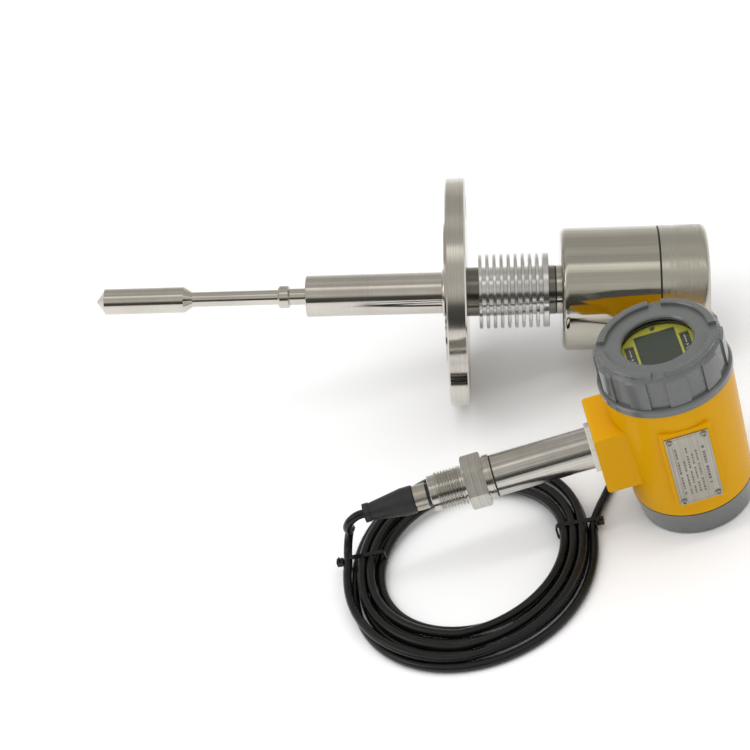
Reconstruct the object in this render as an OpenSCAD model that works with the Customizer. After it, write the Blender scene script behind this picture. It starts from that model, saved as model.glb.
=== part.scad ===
// Inline vibrating-rod viscometer: a flanged sensor joined by a cable to a transmitter.
// Both lie on a flat surface at z = 0, as set down for inspection.
// The sensor leans on the rim of its flange and the rim of its head cap, and the
// transmitter stands on its rear cover. All sizes are in millimetres.

/* [Layout on the table] */
// X of the point where the flange's rim touches the table
sensor_x = 21.9; // [0:0.1:40]
// Y of the sensor's axis
sensor_y = 68; // [60:0.1:110]
// X of the transmitter's upright axis
transmitter_x = 179.4; // [170:0.1:210]
// Y of the transmitter's upright axis
transmitter_y = -103; // [-130:0.1:-95]
// Turn of the transmitter about its axis
stub_turn = 8; // [4:1:12]

/* [Sensing rod] */
// Diameter of the sensing bullet
bullet_d = 18.9; // [14:0.1:24]
// Length of the bullet's straight part
bullet_l = 58; // [40:0.5:80]
// Length of the bullet's pointed tip
bullet_tip_l = 6.7; // [3:0.1:12]
// Length of the cone behind the bullet
bullet_cone_l = 6.3; // [3:0.1:12]
// Diameter of the thin rod
rod_d = 10.9; // [9.6:0.1:13]
// Length of the thin rod
rod_l = 62.8; // [40:0.5:90]
// Diameter of the lock collar
collar_d = 16.5; // [13.5:0.1:20]
// Length of the lock collar
collar_l = 8.5; // [5:0.1:14]
// Bevel at both ends of the lock collar
collar_bevel = 1.2; // [0.2:0.1:2]
// Diameter of the torsion rod that passes up the sheath
torsion_d = 12; // [9.6:0.1:14]
// Length of torsion rod that shows between collar and sheath
torsion_show_l = 12; // [4:0.5:20]
// Diameter of the stud that joins torsion rod, collar and sensing rod
stud_d = 7; // [5:0.1:8]
// Length of the stud inside the sensing rod
stud_in_l = 9; // [5:0.5:14]
// Length of the torsion rod's root disc in the sheath
root_l = 8; // [4:0.5:12]
// Diameter of the torsion rod's upper shank
shank_d = 9; // [6:0.1:12]

/* [Sheath and flange] */
// Outside diameter of the sheath tube
sheath_d = 30.2; // [28:0.1:34]
// Wall of the sheath tube
sheath_wall = 3; // [2:0.1:4.5]
// Length of sheath tube below the raised face
sheath_l = 101.3; // [70:0.5:140]
// Thickness of the sheath's closed end
sheath_end_t = 5; // [3:0.5:10]
// Bevel round the sheath's closed end
sheath_bevel = 0.6; // [0.2:0.1:1.5]
// Outside diameter of the flange
flange_d = 165; // [160:1:175]
// Thickness of the flange without its raised face
flange_t = 14; // [12:0.5:20]
// Bevel on the flange's rim
flange_bevel = 1; // [0.5:0.1:2]
// Diameter of the raised sealing face
face_d = 102; // [90:1:104]
// Height of the raised sealing face
face_t = 2; // [1:0.1:3]
// Diameter of the bolt circle
bolt_circle_d = 125; // [124:0.5:130]
// Number of bolt holes
bolt_count = 4; // [4:4:8]
// Diameter of each bolt hole
bolt_hole_d = 18; // [12:0.5:20]
// Radius of the weld bead round the sheath
weld_r = 2.6; // [1.5:0.1:4]

/* [Cooling radiator] */
// Diameter of the neck that carries the fins
neck_d = 35.4; // [32:0.1:40]
// Bore up the middle of the neck
neck_bore_d = 20; // [14:0.5:24]
// Outside diameter of the fins
fin_d = 54; // [46:0.5:64]
// Number of fins
fin_count = 10; // [6:1:12]
// Thickness of each fin
fin_t = 2.4; // [1.6:0.1:3]
// Distance from one fin to the next
fin_pitch = 5.1; // [4.4:0.1:6]
// Bare neck between flange and first fin
fin_start = 8.2; // [4:0.1:14]
// Thickness of the last fin, next to the head
fin_last_t = 4.3; // [2.4:0.1:6]
// Bare neck between last fin and seal
neck_top_l = 4.6; // [2:0.1:8]
// Bevel at the rim of each fin
fin_bevel = 0.4; // [0.1:0.1:0.7]
// Thickness of the seal between neck and head
neck_seal_t = 1; // [0.6:0.1:2]

/* [Sensor head] */
// Diameter of the thread between the head and its cap
head_thread_d = 79; // [75:0.1:86]
// Radius of the head's and the cap's rounded edges
head_edge_r = 4.9; // [3:0.1:7]
// Length of the head's neck spigot
head_spigot_l = 3.1; // [2:0.1:6]
// Length of the head housing from shoulder to seal
head_l = 69; // [66:0.5:84]
// Thickness of the head's floor
head_floor_t = 5; // [4:0.5:7]
// Wall of the head housing inside its thread
head_wall = 3; // [2.4:0.1:4]
// Wall of the cap round the head's thread
cap_wall = 4.4; // [3:0.1:6]
// Length of the threaded spigot
head_thread_l = 11; // [9:0.5:14]
// Thickness of the black seal ring under the cap
head_seal_t = 1.4; // [1:0.1:2]
// Length of the cap
cap_l = 34; // [28:0.5:44]
// Thickness of the cap's end
cap_end_t = 3.5; // [2.5:0.1:6]

/* [Inside the head] */
// Play between the coils' bracket and the head's wall
bracket_gap = 3.5; // [1:0.5:6]
// Thickness of that bracket
bracket_t = 4; // [3:0.5:6]
// Diameter of the bracket's four pillars
pillar_d = 7; // [5:0.5:8]
// Height of the armature over the head's floor
armature_rise = 4.2; // [2:0.1:8]
// Length of the armature bar on the torsion rod
armature_l = 44; // [36:0.5:46]
// Width of the armature bar
armature_w = 12; // [11:0.5:14]
// Thickness of the armature bar
armature_t = 6; // [4:0.5:8]
// Air gap between the armature and each coil
air_gap = 0.8; // [0.5:0.1:0.9]
// Diameter of a coil's bobbin
bobbin_d = 14; // [10:0.5:16]
// Length of a coil's bobbin
bobbin_l = 9; // [6:0.5:9.5]
// Play between the amplifier board and the head's wall
amplifier_gap = 6; // [5.8:0.1:9]
// Length of the block on the amplifier board
amplifier_block_l = 28; // [16:1:34]
// Width of the block on the amplifier board
amplifier_block_w = 18; // [10:1:22]
// Height of the block on the amplifier board
amplifier_block_h = 7; // [4:0.5:9]
// Thickness of every circuit board
board_t = 1.6; // [1:0.1:2]
// Height of the amplifier board's posts
amplifier_post_h = 8; // [6:0.5:10]

/* [Cable gland] */
// Distance of the gland from the seam between head and cap
gland_from_seam = 21.1; // [18:0.1:24]
// Width of the boss's face round the gland
gland_boss_over = 1; // [0.5:0.1:3]
// Height of the boss over the head's side
gland_boss_h = 4; // [3:0.5:6]
// Diameter of the gland's thread
gland_thread_d = 16; // [14:0.1:17]
// Depth of the gland's hexagons over its thread
gland_hex_over = 1.5; // [1.2:0.1:3]
// Thickness of the gland's nut inside the head
gland_locknut_t = 3.4; // [2.5:0.1:5]
// Length of the gland body's hexagon
gland_hex_l = 5; // [4:0.5:7]
// Length of the gland's sealing nut
gland_nut_l = 13; // [12:0.5:16]
// Diameter of the cable
cable_d = 6; // [5.6:0.1:6.4]

/* [Transmitter housing] */
// Diameter of the housing under the front cover
body_top_d = 86.4; // [84:0.1:87.5]
// Diameter of the housing over the rear cover
body_bottom_d = 81; // [80:0.1:84]
// Height of the housing between its two seals
body_h = 89; // [84:0.5:100]
// Wall of the front cover round its thread
cover_wall = 3.7; // [2.5:0.1:5]
// Length of the front cover's thread
front_thread_l = 10; // [8:0.5:12]
// Wall of the rear cover round its thread
rear_wall = 4.2; // [3:0.1:6]
// Length of the rear cover's thread
rear_thread_l = 8; // [6:0.5:10]
// Wall of the housing's two threaded spigots
spigot_wall = 3.5; // [2.5:0.1:5]
// Thickness of the bulkhead between the two compartments
bulkhead_t = 4; // [3:0.5:6]
// Distance of the bulkhead from the conduit's thread
conduit_wall = 3.5; // [2.5:0.1:6]
// Thickness of each rubber ring under a cover
cover_seal_t = 0.8; // [0.6:0.1:1.5]
// Width of the square boss that the stub screws into
boss_w = 46; // [40:0.5:50]
// Height of that boss
boss_h = 45.5; // [40:0.5:48]
// Distance that the boss stands out of the housing
boss_l = 16.5; // [12:0.5:24]
// Distance of the stub's thread over the bulkhead
stub_up = 0.8; // [0.5:0.1:5]
// Radius of the boss's outer edges
boss_edge_r = 2.5; // [1:0.1:5]
// Radius of the fillet between boss and housing
boss_fillet_r = 5; // [3:0.5:8]
// Margin of the nameplate's pad round the plate
pad_margin = 2.8; // [1.5:0.1:5]
// Distance of the pad's lower edge over the rear seal
pad_up = 12.2; // [8:0.1:16]
// Distance of the pad's face outside the housing's widest part
pad_t = 0.8; // [0.5:0.1:3]
// Wall of the conduit boss round its thread
conduit_boss_wall = 4; // [3:0.5:5]
// Distance that the conduit boss stands out of the housing
conduit_boss_l = 11.5; // [8:0.5:18]
// Distance of the conduit boss over the rear seal
conduit_up = 1; // [0.5:0.1:4]
// Diameter of the conduit's thread
conduit_thread_d = 20; // [16:0.5:20.5]

/* [Front cover] */
// Distance that the cover's flange ring stands out over the housing
cover_overhang = 1; // [0.5:0.1:2]
// Height of that ring
cover_flange_h = 4.8; // [3:0.1:7]
// Step between that ring and the cover's side
cover_step = 3.2; // [2:0.1:4]
// Height of the cover's side
cover_side_h = 21; // [20:0.1:24]
// Bevel between the cover's side and its top
cover_bevel = 1.9; // [1:0.1:3]
// Number of raised grip pads
grip_count = 10; // [8:1:11]
// Angle that each grip pad covers
grip_angle = 19; // [12:1:24]
// Height of a grip pad over the cover's side
grip_t = 1.3; // [0.6:0.1:2]
// Direction of the first grip pad
grip_first = 238; // [220:1:256]
// Height of the raised rim over the cover's top
rim_h = 3; // [2:0.1:4]
// Width of the raised rim
rim_w = 5.2; // [3:0.1:7]
// Number of notches in the raised rim
notch_count = 4; // [3:1:6]
// Angle that each notch covers
notch_angle = 14; // [8:1:20]
// Direction of the first notch
notch_first = 80; // [60:1:100]
// Diameter of the window
window_d = 47.2; // [44:0.1:50]
// Thickness of the lip round the window
window_lip_t = 2.8; // [2:0.1:3.4]
// Width of the glass's seat round the window
glass_seat = 7.4; // [5:0.1:8]
// Thickness of the window's glass
glass_t = 5.8; // [5:0.1:6.2]
// Thickness of the rubber ring over the glass
glass_seal_t = 1; // [0.6:0.1:1.4]
// Distance that the glass's retaining ring is wider than the window
retainer_in = 2.7; // [1:0.1:4]
// Height of the ring that holds the glass
retainer_h = 3; // [2:0.1:3.4]

/* [Rear cover] */
// Height of the rear cover
rear_h = 19.2; // [18.5:0.1:24]
// Distance that the rear cover tapers in towards its foot
rear_taper = 2.5; // [1:0.1:4]
// Rounding of the rear cover's foot
rear_edge_r = 2; // [1:0.1:3]
// Thickness of the rear cover's end
rear_end_t = 5; // [4:0.1:7]
// Width of the rear cover's foot ring
rear_rim_w = 9; // [6:0.5:14]
// Depth of that recess
rear_recess_t = 1.5; // [0.5:0.1:2]

/* [Display] */
// Play between the display unit and the retaining ring
display_gap = 0.8; // [0.5:0.1:2]
// Height of the display unit's black body
display_h = 6.6; // [6:0.1:8]
// Thickness of the display's coloured face plate
face_plate_t = 1; // [0.6:0.1:1.4]
// Width of the liquid crystal panel, across the stub
lcd_w = 37; // [33:0.5:38]
// Height of the liquid crystal panel, along the stub
lcd_h = 27; // [24:0.5:28]
// Width of the coloured band at each side of the panel
band_w = 1.6; // [1:0.1:2]
// Margin of the face plate outside its black side fields
side_field_margin = 1.5; // [1:0.1:3]
// Length of the black side fields
side_field_l = 22; // [19:0.5:24]
// Distance of the face plate's screws from its edge
display_screw_in = 3.7; // [3:0.1:4.5]
// Diameter of the face plate screws' heads
display_screw_d = 3.2; // [2.4:0.1:3.6]
// Diameter of the two keys
key_d = 4; // [3:0.1:4.6]
// Height of a key over the face plate
key_h = 0.8; // [0.6:0.1:1]
// Distance of the keys from the display's middle, across the stub
key_y = 6.5; // [5:0.1:8]
// Distance that a key travels
key_travel = 0.5; // [0.3:0.1:0.6]
// Play between the transmitter's boards and its wall
board_gap = 2.5; // [1.5:0.1:5]
// Distance of the main board over the stub's thread
main_board_up = 13.2; // [11:0.1:16]
// Length of the block on the main board
main_block_l = 24; // [14:1:34]
// Width of the block on the main board
main_block_w = 20; // [10:1:28]
// Height of the block on the main board
main_block_h = 8; // [4:0.5:10]
// Length of the relay under the main board
relay_l = 14; // [8:0.5:20]
// Width of the relay under the main board
relay_w = 10; // [6:0.5:14]
// Height of the relay under the main board
relay_h = 9; // [6:0.5:11]
// Diameter of the wires' hole through the bulkhead
wire_hole_d = 8; // [4:0.5:10]
// Width across flats of the board posts
post_af = 5.5; // [4.5:0.1:7]
// Distance of the board posts from the boards' edge
post_in = 5; // [4:0.5:8]
// Length of the terminal block
terminal_l = 48; // [36:1:56]
// Width of the terminal block
terminal_w = 16; // [12:0.5:20]
// Height of the terminal block
terminal_h = 12; // [8:0.5:12]
// Distance between two terminals
terminal_pitch = 7.5; // [6:0.1:8]
// Number of terminals
terminal_count = 6; // [2:1:6]
// Diameter of a terminal's well
terminal_d = 4.8; // [3:0.1:5.4]

/* [Nameplate] */
// Width of the nameplate
plate_w = 28.6; // [26:0.1:30]
// Height of the nameplate
plate_h = 57; // [52:0.5:59]
// Thickness of the nameplate
plate_t = 0.8; // [0.5:0.1:1.5]
// Distance of each nameplate screw from the plate's edges
plate_screw_in = 2.9; // [2.6:0.1:4]
// Diameter of the nameplate screws' heads
plate_screw_d = 4.4; // [3.4:0.1:5]
// Diameter of the nameplate screws' shanks
plate_shank_d = 2.2; // [1.6:0.1:3]
// Length of the nameplate screws' shanks
plate_shank_l = 5; // [3:0.5:8]
// Height of the nameplate screws' heads
plate_screw_h = 1.3; // [0.8:0.1:2]

/* [Stub and connector] */
// Distance that the locknut is wider than the tube
locknut_over = 1.25; // [1:0.05:3]
// Thickness of the locknut
locknut_t = 3.3; // [2.5:0.1:5]
// Diameter of the neck tube
tube_d = 28; // [27:0.1:30]
// Wall of the neck tube
tube_wall = 2.6; // [2:0.1:3.2]
// Length of the neck tube outside the locknut
tube_l = 65.2; // [55:0.1:80]
// Step between the neck tube and its thread
tube_thread_step = 1; // [0.5:0.1:1.5]
// Length of the tube's thread in the boss
tube_thread_l = 12; // [9:0.5:14]
// Thickness of the O-ring at the tube's end
tube_seal_t = 1; // [0.6:0.1:1.6]
// Distance that the fitting's collar stands out over the tube
fitting_collar_over = 1; // [0.5:0.1:2]
// Length of that collar
fitting_collar_l = 5.2; // [3:0.1:8]
// Distance that the fitting's hexagon stands out over its collar
fitting_hex_over = 1; // [0.5:0.1:3]
// Length of the fitting's hexagon
fitting_hex_l = 13.6; // [10:0.1:18]
// Bevel on the hexagon's corners
fitting_bevel = 1.4; // [0.8:0.1:2]
// Outside diameter of the fitting's thread
fitting_thread_d = 26.4; // [25:0.1:28]
// Length of the fitting's thread
fitting_thread_l = 19; // [15:0.1:24]
// Step between the fitting's thread and its plain end
fitting_end_step = 1; // [0.5:0.1:2]
// Length of the plain end past the thread
fitting_end_l = 5.4; // [3:0.1:8]
// Diameter of the socket in the fitting's end
socket_d = 16.4; // [15:0.1:17.5]
// Length of socket that stands out of the fitting
socket_show_l = 2.4; // [1:0.1:4]
// Length of socket inside the fitting
socket_in_l = 12; // [8:0.5:16]
// Step between the socket and the plug's inner body
plug_step = 1.4; // [1:0.1:2]
// Wall of the coupling ring
coupling_wall = 1.82; // [1.4:0.02:3]
// Length of the coupling ring
coupling_l = 8.6; // [6:0.1:12]
// Distance that the boot stands out over the coupling ring
boot_over = 0.8; // [0.2:0.1:2]
// Length of the boot's straight part
boot_straight_l = 8; // [6:0.1:12]
// Length of the boot's taper
boot_taper_l = 23.5; // [16:0.5:32]
// Wall of the boot's narrow end
boot_wall = 2.8; // [1.5:0.1:4]
// Distance that the bead stands out over the boot's end
boot_bead_over = 0.7; // [0.3:0.1:1.5]
// Length of the bead at the boot's end
boot_bead_l = 3.5; // [2:0.1:5]

/* [Cable coil] */
// X of the coil's middle
coil_x = 22.8; // [15:0.1:30]
// Y of the coil's middle
coil_y = -129; // [-140:0.5:-120]
// Inner radius of the coil
coil_in_r = 60; // [50:0.5:70]
// Width of the bundle at the ties
coil_bundle_w = 28; // [22:0.5:34]
// Extra width of the bundle away from the ties
coil_spread = 18; // [0:0.5:24]
// Number of cable layers in the coil
coil_layers = 2; // [2:1:3]
// Distance of the left tie from the coil's middle line
tie_left_y = 14; // [-20:0.5:20]
// Distance of the right tie from the coil's middle line
tie_right_y = 7; // [-20:0.5:20]
// Thickness of a cable tie's strap
tie_t = 1.2; // [0.8:0.1:2]
// Width of a cable tie's strap
tie_w = 3.6; // [3:0.1:8]
// Size of a cable tie's head
tie_head = 5; // [4:0.1:8]

/* [Fits] */
// Play between pieces that are screwed or pushed together
fit_gap = 0.05; // [0.02:0.01:0.1]
// Play between pieces that turn or slide on each other
run_gap = 0.3; // [0.2:0.05:0.4]
// Play of a pin or ring that turns in a close bore
pin_gap = 0.08; // [0.03:0.01:0.1]

/* [Hidden] */
$fn = 96;
eps = 0.01;

// Stations along the sensor's axis, from the flange's back face towards the cap
flange_r = flange_d / 2;
head_thread_r = head_thread_d / 2;
head_r = head_thread_r + run_gap + cap_wall;
face_s = -flange_t - face_t;
sheath_s = face_s - sheath_l;
collar_s1 = sheath_s - torsion_show_l;
collar_s0 = collar_s1 - collar_l;
cone_s1 = collar_s0 - rod_l;
bullet_s1 = cone_s1 - bullet_cone_l;
bullet_s0 = bullet_s1 - bullet_l;
tip_s = bullet_s0 - bullet_tip_l;
fins_s1 = fin_start + (fin_count - 1) * fin_pitch + fin_last_t;
neck_s1 = fins_s1 + neck_top_l;
spigot_s0 = neck_s1 + neck_seal_t;
head_s0 = spigot_s0 + head_spigot_l;
head_s1 = head_s0 + head_l;
cap_s0 = head_s1 + head_seal_t;
cap_s1 = cap_s0 + cap_l;
floor_s = head_s0 + head_floor_t;
head_in_r = head_thread_r - head_wall;

// The tilt at which flange rim and cap rim both touch the table
rest_a = flange_r - head_r + head_edge_r;
rest_b = cap_s1 - head_edge_r + flange_bevel;
rest_tilt = acos(head_edge_r / norm([rest_a, rest_b])) - atan2(rest_b, rest_a);
sensor_origin = [
    sensor_x + flange_r * sin(rest_tilt) + flange_bevel * cos(rest_tilt),
    sensor_y,
    flange_r * cos(rest_tilt) - flange_bevel * sin(rest_tilt)
];

// Levels inside the head
bracket_s = floor_s + armature_rise + armature_t + bobbin_l + air_gap;
bracket_r = head_in_r - bracket_gap;
armature_s = bracket_s - air_gap - bobbin_l - armature_t;
amplifier_s = bracket_s + bracket_t + amplifier_post_h;
coil_post_r = armature_l / 2 - bobbin_d / 2;
pillar_r = bracket_r - pillar_d / 2;
amplifier_r = head_in_r - amplifier_gap;
amplifier_post_r = amplifier_r - post_in;

// Levels along the gland's axis, from the sensor's axis outwards
gland_s = head_s1 - gland_from_seam;
gland_af = gland_thread_d + 2 * gland_hex_over;
gland_corner_r = gland_af / sqrt(3);
gland_nut_z1 = sqrt(pow(head_in_r, 2) - pow(gland_corner_r, 2)) - 0.2;
gland_nut_z0 = gland_nut_z1 - gland_locknut_t;
gland_z0 = head_r + gland_boss_h;
gland_z1 = gland_z0 + gland_hex_l;
gland_z2 = gland_z1 + gland_nut_l;

// Levels up the transmitter
body_z0 = rear_h + cover_seal_t;
body_z1 = body_z0 + body_h;
cover_z0 = body_z1 + cover_seal_t;
cover_z1 = cover_z0 + cover_flange_h;
cover_z2 = cover_z1 + cover_side_h;
cover_z3 = cover_z2 + cover_bevel;
rim_z = cover_z3 + rim_h;
lip_z = cover_z3 - window_lip_t;
glass_z1 = lip_z - glass_seal_t;
glass_z0 = glass_z1 - glass_t;
retainer_z0 = glass_z0 - retainer_h;
cover_flange_r = body_top_d / 2 + cover_overhang;
cover_side_r = cover_flange_r - cover_step;
rim_r = cover_side_r - cover_bevel;
glass_r = window_d / 2 + glass_seat;
front_thread_r = cover_side_r - cover_wall - run_gap;
front_in_r = front_thread_r - spigot_wall;
body_r = body_bottom_d / 2;
rear_thread_r = body_r - rear_wall - run_gap;
rear_in_r = rear_thread_r - spigot_wall;
rear_foot_r = body_r - rear_taper;
boss_reach = body_r + boss_l;
conduit_boss_r = conduit_thread_d / 2 + conduit_boss_wall;
conduit_reach = body_r + conduit_boss_l;
conduit_z = body_z0 + conduit_up + conduit_boss_r;
bulkhead_z0 = conduit_z + conduit_thread_d / 2 + conduit_wall;
bulkhead_z = bulkhead_z0 + bulkhead_t;
tube_thread_d = tube_d - 2 * tube_thread_step;
stub_z = bulkhead_z + stub_up + tube_thread_d / 2;
pad_w = plate_w + 2 * pad_margin;
pad_h = plate_h + 2 * pad_margin;
pad_z = body_z0 + pad_up + pad_h / 2;
pad_reach = max(body_r, body_top_d / 2) + pad_t;

// Levels of the display, hung from the window
face_z1 = glass_z0 - 1.5;
face_z0 = face_z1 - face_plate_t;
display_z0 = face_z0 - display_h;
display_board_z = display_z0 - board_t;
main_z = stub_z + tube_thread_d / 2 + main_board_up;
board_r = front_in_r - board_gap;
post_r = board_r - post_in;
retainer_bore_r = window_d / 2 + retainer_in;
display_r = retainer_bore_r - display_gap;
display_screw_y = display_r - display_screw_in;
side_field_x = lcd_h / 2 + band_w;
side_field_w = sqrt(pow(display_r - side_field_margin, 2) - pow(side_field_l / 2, 2)) - side_field_x;
key_x = side_field_x + side_field_w / 2;

// Stations along the stub, outwards from the transmitter's axis
locknut_s1 = boss_reach + locknut_t;
tube_s1 = locknut_s1 + tube_l;
fitting_s0 = tube_s1 + tube_seal_t;
hex_s0 = fitting_s0 + fitting_collar_l;
hex_s1 = hex_s0 + fitting_hex_l;
thread_s1 = hex_s1 + fitting_thread_l;
fitting_s1 = thread_s1 + fitting_end_l;
socket_s1 = fitting_s1 + socket_show_l;
coupling_s1 = socket_s1 + coupling_l;
boot_s0 = coupling_s1 + 0.4;
boot_s1 = boot_s0 + boot_straight_l;
boot_s2 = boot_s1 + boot_taper_l;
boot_s3 = boot_s2 + boot_bead_l;
tube_bore_r = tube_d / 2 - tube_wall;
fitting_collar_r = tube_d / 2 + fitting_collar_over;
fitting_af = 2 * (fitting_collar_r + fitting_hex_over);
plug_r = socket_d / 2 - plug_step;
coupling_r = plug_r + pin_gap + coupling_wall;
boot_r = coupling_r + boot_over;
boot_end_r = cable_d / 2 + boot_wall;
cable_bore_r = cable_d / 2 - 0.4;
coil_h = coil_layers * cable_d;

// The cable's two loose stretches, as points on its centre line
TO_PLUG = [
    [-34.7, -133.1, 66.3], [-38.7, -133.7, 66.3], [-42.6, -133.5, 64.6], [-46, -132, 60.8],
    [-49, -129.8, 56.2], [-51.8, -127, 51], [-54.4, -123.8, 45.4], [-56.8, -120.2, 39.6],
    [-59, -116.2, 33.6], [-60.8, -112.4, 27.8], [-61.9, -110, 22.4], [-62.4, -109.2, 18],
    [-62.5, -108.9, 12.6]
];
TO_HEAD = [
    [153.3, 1.8, 54.7], [153.3, -5.5, 54.7], [153.2, -12.5, 52.8], [152.6, -19.2, 48.4],
    [151.2, -25.6, 41.8], [149.1, -31.6, 33.6], [146.4, -37.4, 25], [143, -43.2, 16.8],
    [139, -49.6, 9.8], [134.2, -57.2, 5.2], [128.6, -66.4, 3.6], [122.4, -79.6, 3.4],
    [116.6, -93.4, 3.8], [112, -106, 5]
];
TUBE_SIDES = 10;

// Frames of the two assemblies
module along_sensor() {
    translate(sensor_origin)
        rotate([0, 90 + rest_tilt, 0])
            children();
}

module at_gland() {
    along_sensor()
        translate([0, 0, gland_s])
            rotate([90, 0, 0])
                children();
}

module at_transmitter() {
    translate([transmitter_x, transmitter_y, 0])
        rotate([0, 0, stub_turn])
            children();
}

module along_stub() {
    at_transmitter()
        translate([0, 0, stub_z])
            rotate([0, -90, 0])
                children();
}

module at_nameplate() {
    at_transmitter()
        translate([0, -pad_reach, pad_z])
            rotate([90, 0, 0])
                children();
}

module at_conduit() {
    at_transmitter()
        translate([0, 0, conduit_z])
            rotate([-90, 0, 0])
                children();
}

// Shapes that several pieces use
module disc(r, z0, z1) {
    translate([0, 0, z0])
        cylinder(r = r, h = z1 - z0);
}

module hexagon(af, z0, z1) {
    translate([0, 0, z0])
        cylinder(r = af / sqrt(3), h = z1 - z0, $fn = 6);
}

// A block in the middle of a board, of height h from z0 upwards
module block(l, w, z0, h) {
    translate([-l / 2, -w / 2, z0])
        cube([l, w, h]);
}

module ring(r_out, r_in, z0, z1) {
    difference() {
        disc(r_out, z0, z1);
        disc(r_in, z0 - 1, z1 + 1);
    }
}

module around(count) {
    for (i = [0 : count - 1])
        rotate([0, 0, i * 360 / count])
            children();
}

// A rectangle with its four corners rounded by true arcs
module soft_rectangle(w, h, r) {
    square([w - 2 * r, h], center = true);
    square([w, h - 2 * r], center = true);
    for (x = [-1, 1], y = [-1, 1])
        translate([x * (w / 2 - r), y * (h / 2 - r)])
            circle(r = r, $fn = 48);
}

// Half profile of a round bar whose upper edge is rounded, from z0 up to z1
module soft_end_profile(r, edge, z0, z1) {
    translate([0, z0])
        square([r, z1 - edge - z0]);
    translate([0, z0])
        square([r - edge, z1 - z0]);
    translate([r - edge, z1 - edge])
        circle(r = edge, $fn = 48);
}

// Sensing rod: the bullet and its thin rod, turned from one bar
module sensing_rod() {
    color("silver")
        along_sensor()
            difference() {
                rotate_extrude()
                    polygon([
                        [0, tip_s], [bullet_d / 2, bullet_s0], [bullet_d / 2, bullet_s1],
                        [rod_d / 2, cone_s1], [rod_d / 2, collar_s0], [0, collar_s0]
                    ]);
                disc(stud_d / 2 + fit_gap, collar_s0 - stud_in_l - 0.5, collar_s0 + 1);
            }
}

module rod_collar() {
    color("silver")
        along_sensor()
            difference() {
                rotate_extrude()
                    polygon([
                        [0, collar_s0], [collar_d / 2 - collar_bevel, collar_s0],
                        [collar_d / 2, collar_s0 + collar_bevel], [collar_d / 2, collar_s1 - collar_bevel],
                        [collar_d / 2 - collar_bevel, collar_s1], [0, collar_s1]
                    ]);
                disc(stud_d / 2 + fit_gap, collar_s0 - 1, collar_s1 + 1);
            }
}

module torsion_rod() {
    root_s = face_s - 4;
    root_r = sheath_d / 2 - sheath_wall - fit_gap;
    color("silver")
        along_sensor() {
            disc(stud_d / 2, collar_s0 - stud_in_l, collar_s1 + 1);
            disc(torsion_d / 2, collar_s1, root_s);
            disc(root_r, root_s - root_l, root_s);
            disc(shank_d / 2, root_s - 1, armature_s + armature_t);
        }
}

module sheath_tube() {
    r = sheath_d / 2;
    bore_r = r - sheath_wall;
    hole_r = torsion_d / 2 + run_gap;
    color("gainsboro")
        along_sensor()
            rotate_extrude()
                polygon([
                    [hole_r, sheath_s], [r - sheath_bevel, sheath_s], [r, sheath_s + sheath_bevel],
                    [r, 0], [bore_r, 0], [bore_r, sheath_s + sheath_end_t], [hole_r, sheath_s + sheath_end_t]
                ]);
}

module process_flange() {
    hole_r = sheath_d / 2 + fit_gap;
    b = flange_bevel;
    color("lightgray")
        along_sensor()
            difference() {
                union() {
                    rotate_extrude()
                        polygon([
                            [0, face_s], [face_d / 2, face_s], [face_d / 2, -flange_t],
                            [flange_r - b, -flange_t], [flange_r, b - flange_t], [flange_r, -b],
                            [flange_r - b, 0], [0, 0]
                        ]);
                    rotate_extrude()
                        translate([hole_r, face_s])
                            circle(r = weld_r, $fn = 32);
                }
                disc(hole_r, face_s - 10, 1);
                around(bolt_count)
                    rotate([0, 0, 180 / bolt_count])
                        translate([bolt_circle_d / 2, 0, 0])
                            disc(bolt_hole_d / 2, face_s - 1, 1);
            }
}

// Half profile of one radiator fin
module fin_profile(z0, t) {
    polygon([
        [neck_d / 2 - 1, z0], [fin_d / 2 - fin_bevel, z0], [fin_d / 2, z0 + fin_bevel],
        [fin_d / 2, z0 + t - fin_bevel], [fin_d / 2 - fin_bevel, z0 + t], [neck_d / 2 - 1, z0 + t]
    ]);
}

module cooling_radiator() {
    color("whitesmoke")
        along_sensor()
            difference() {
                rotate_extrude() {
                    square([neck_d / 2, neck_s1]);
                    for (i = [0 : fin_count - 2])
                        fin_profile(fin_start + i * fin_pitch, fin_t);
                    fin_profile(fins_s1 - fin_last_t, fin_last_t);
                }
                disc(neck_bore_d / 2, -1, neck_s1 + 1);
            }
}

module neck_seal() {
    color("black")
        along_sensor()
            ring(neck_d / 2 - 0.5, neck_bore_d / 2, neck_s1, spigot_s0);
}

module head_housing() {
    color("lightgray")
        along_sensor()
            difference() {
                union() {
                    disc(neck_d / 2, spigot_s0, head_s0 + 1);
                    translate([0, 0, head_s0 + head_s1])
                        mirror([0, 0, 1])
                            rotate_extrude()
                                soft_end_profile(head_r, head_edge_r, head_s0, head_s1);
                    disc(head_thread_r, head_s1 - 1, head_s1 + head_thread_l);
                    translate([0, 0, gland_s])
                        rotate([90, 0, 0])
                            disc(gland_corner_r + gland_boss_over, head_in_r + 2, gland_z0);
                }
                disc(neck_bore_d / 2, spigot_s0 - 1, head_s0 + head_floor_t + 1);
                disc(head_in_r, floor_s, head_s1 + head_thread_l + 1);
                translate([0, 0, gland_s])
                    rotate([90, 0, 0])
                        disc(gland_thread_d / 2 + fit_gap, 0, gland_z0 + 1);
            }
}

module head_seal() {
    color("black")
        along_sensor()
            ring(head_r - 0.3, head_thread_r + run_gap, head_s1 + fit_gap, cap_s0 - fit_gap);
}

module head_cap() {
    color("lightgray")
        along_sensor()
            difference() {
                rotate_extrude()
                    soft_end_profile(head_r, head_edge_r, cap_s0, cap_s1);
                disc(head_thread_r + run_gap, cap_s0 - 1, cap_s1 - cap_end_t);
            }
}

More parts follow.
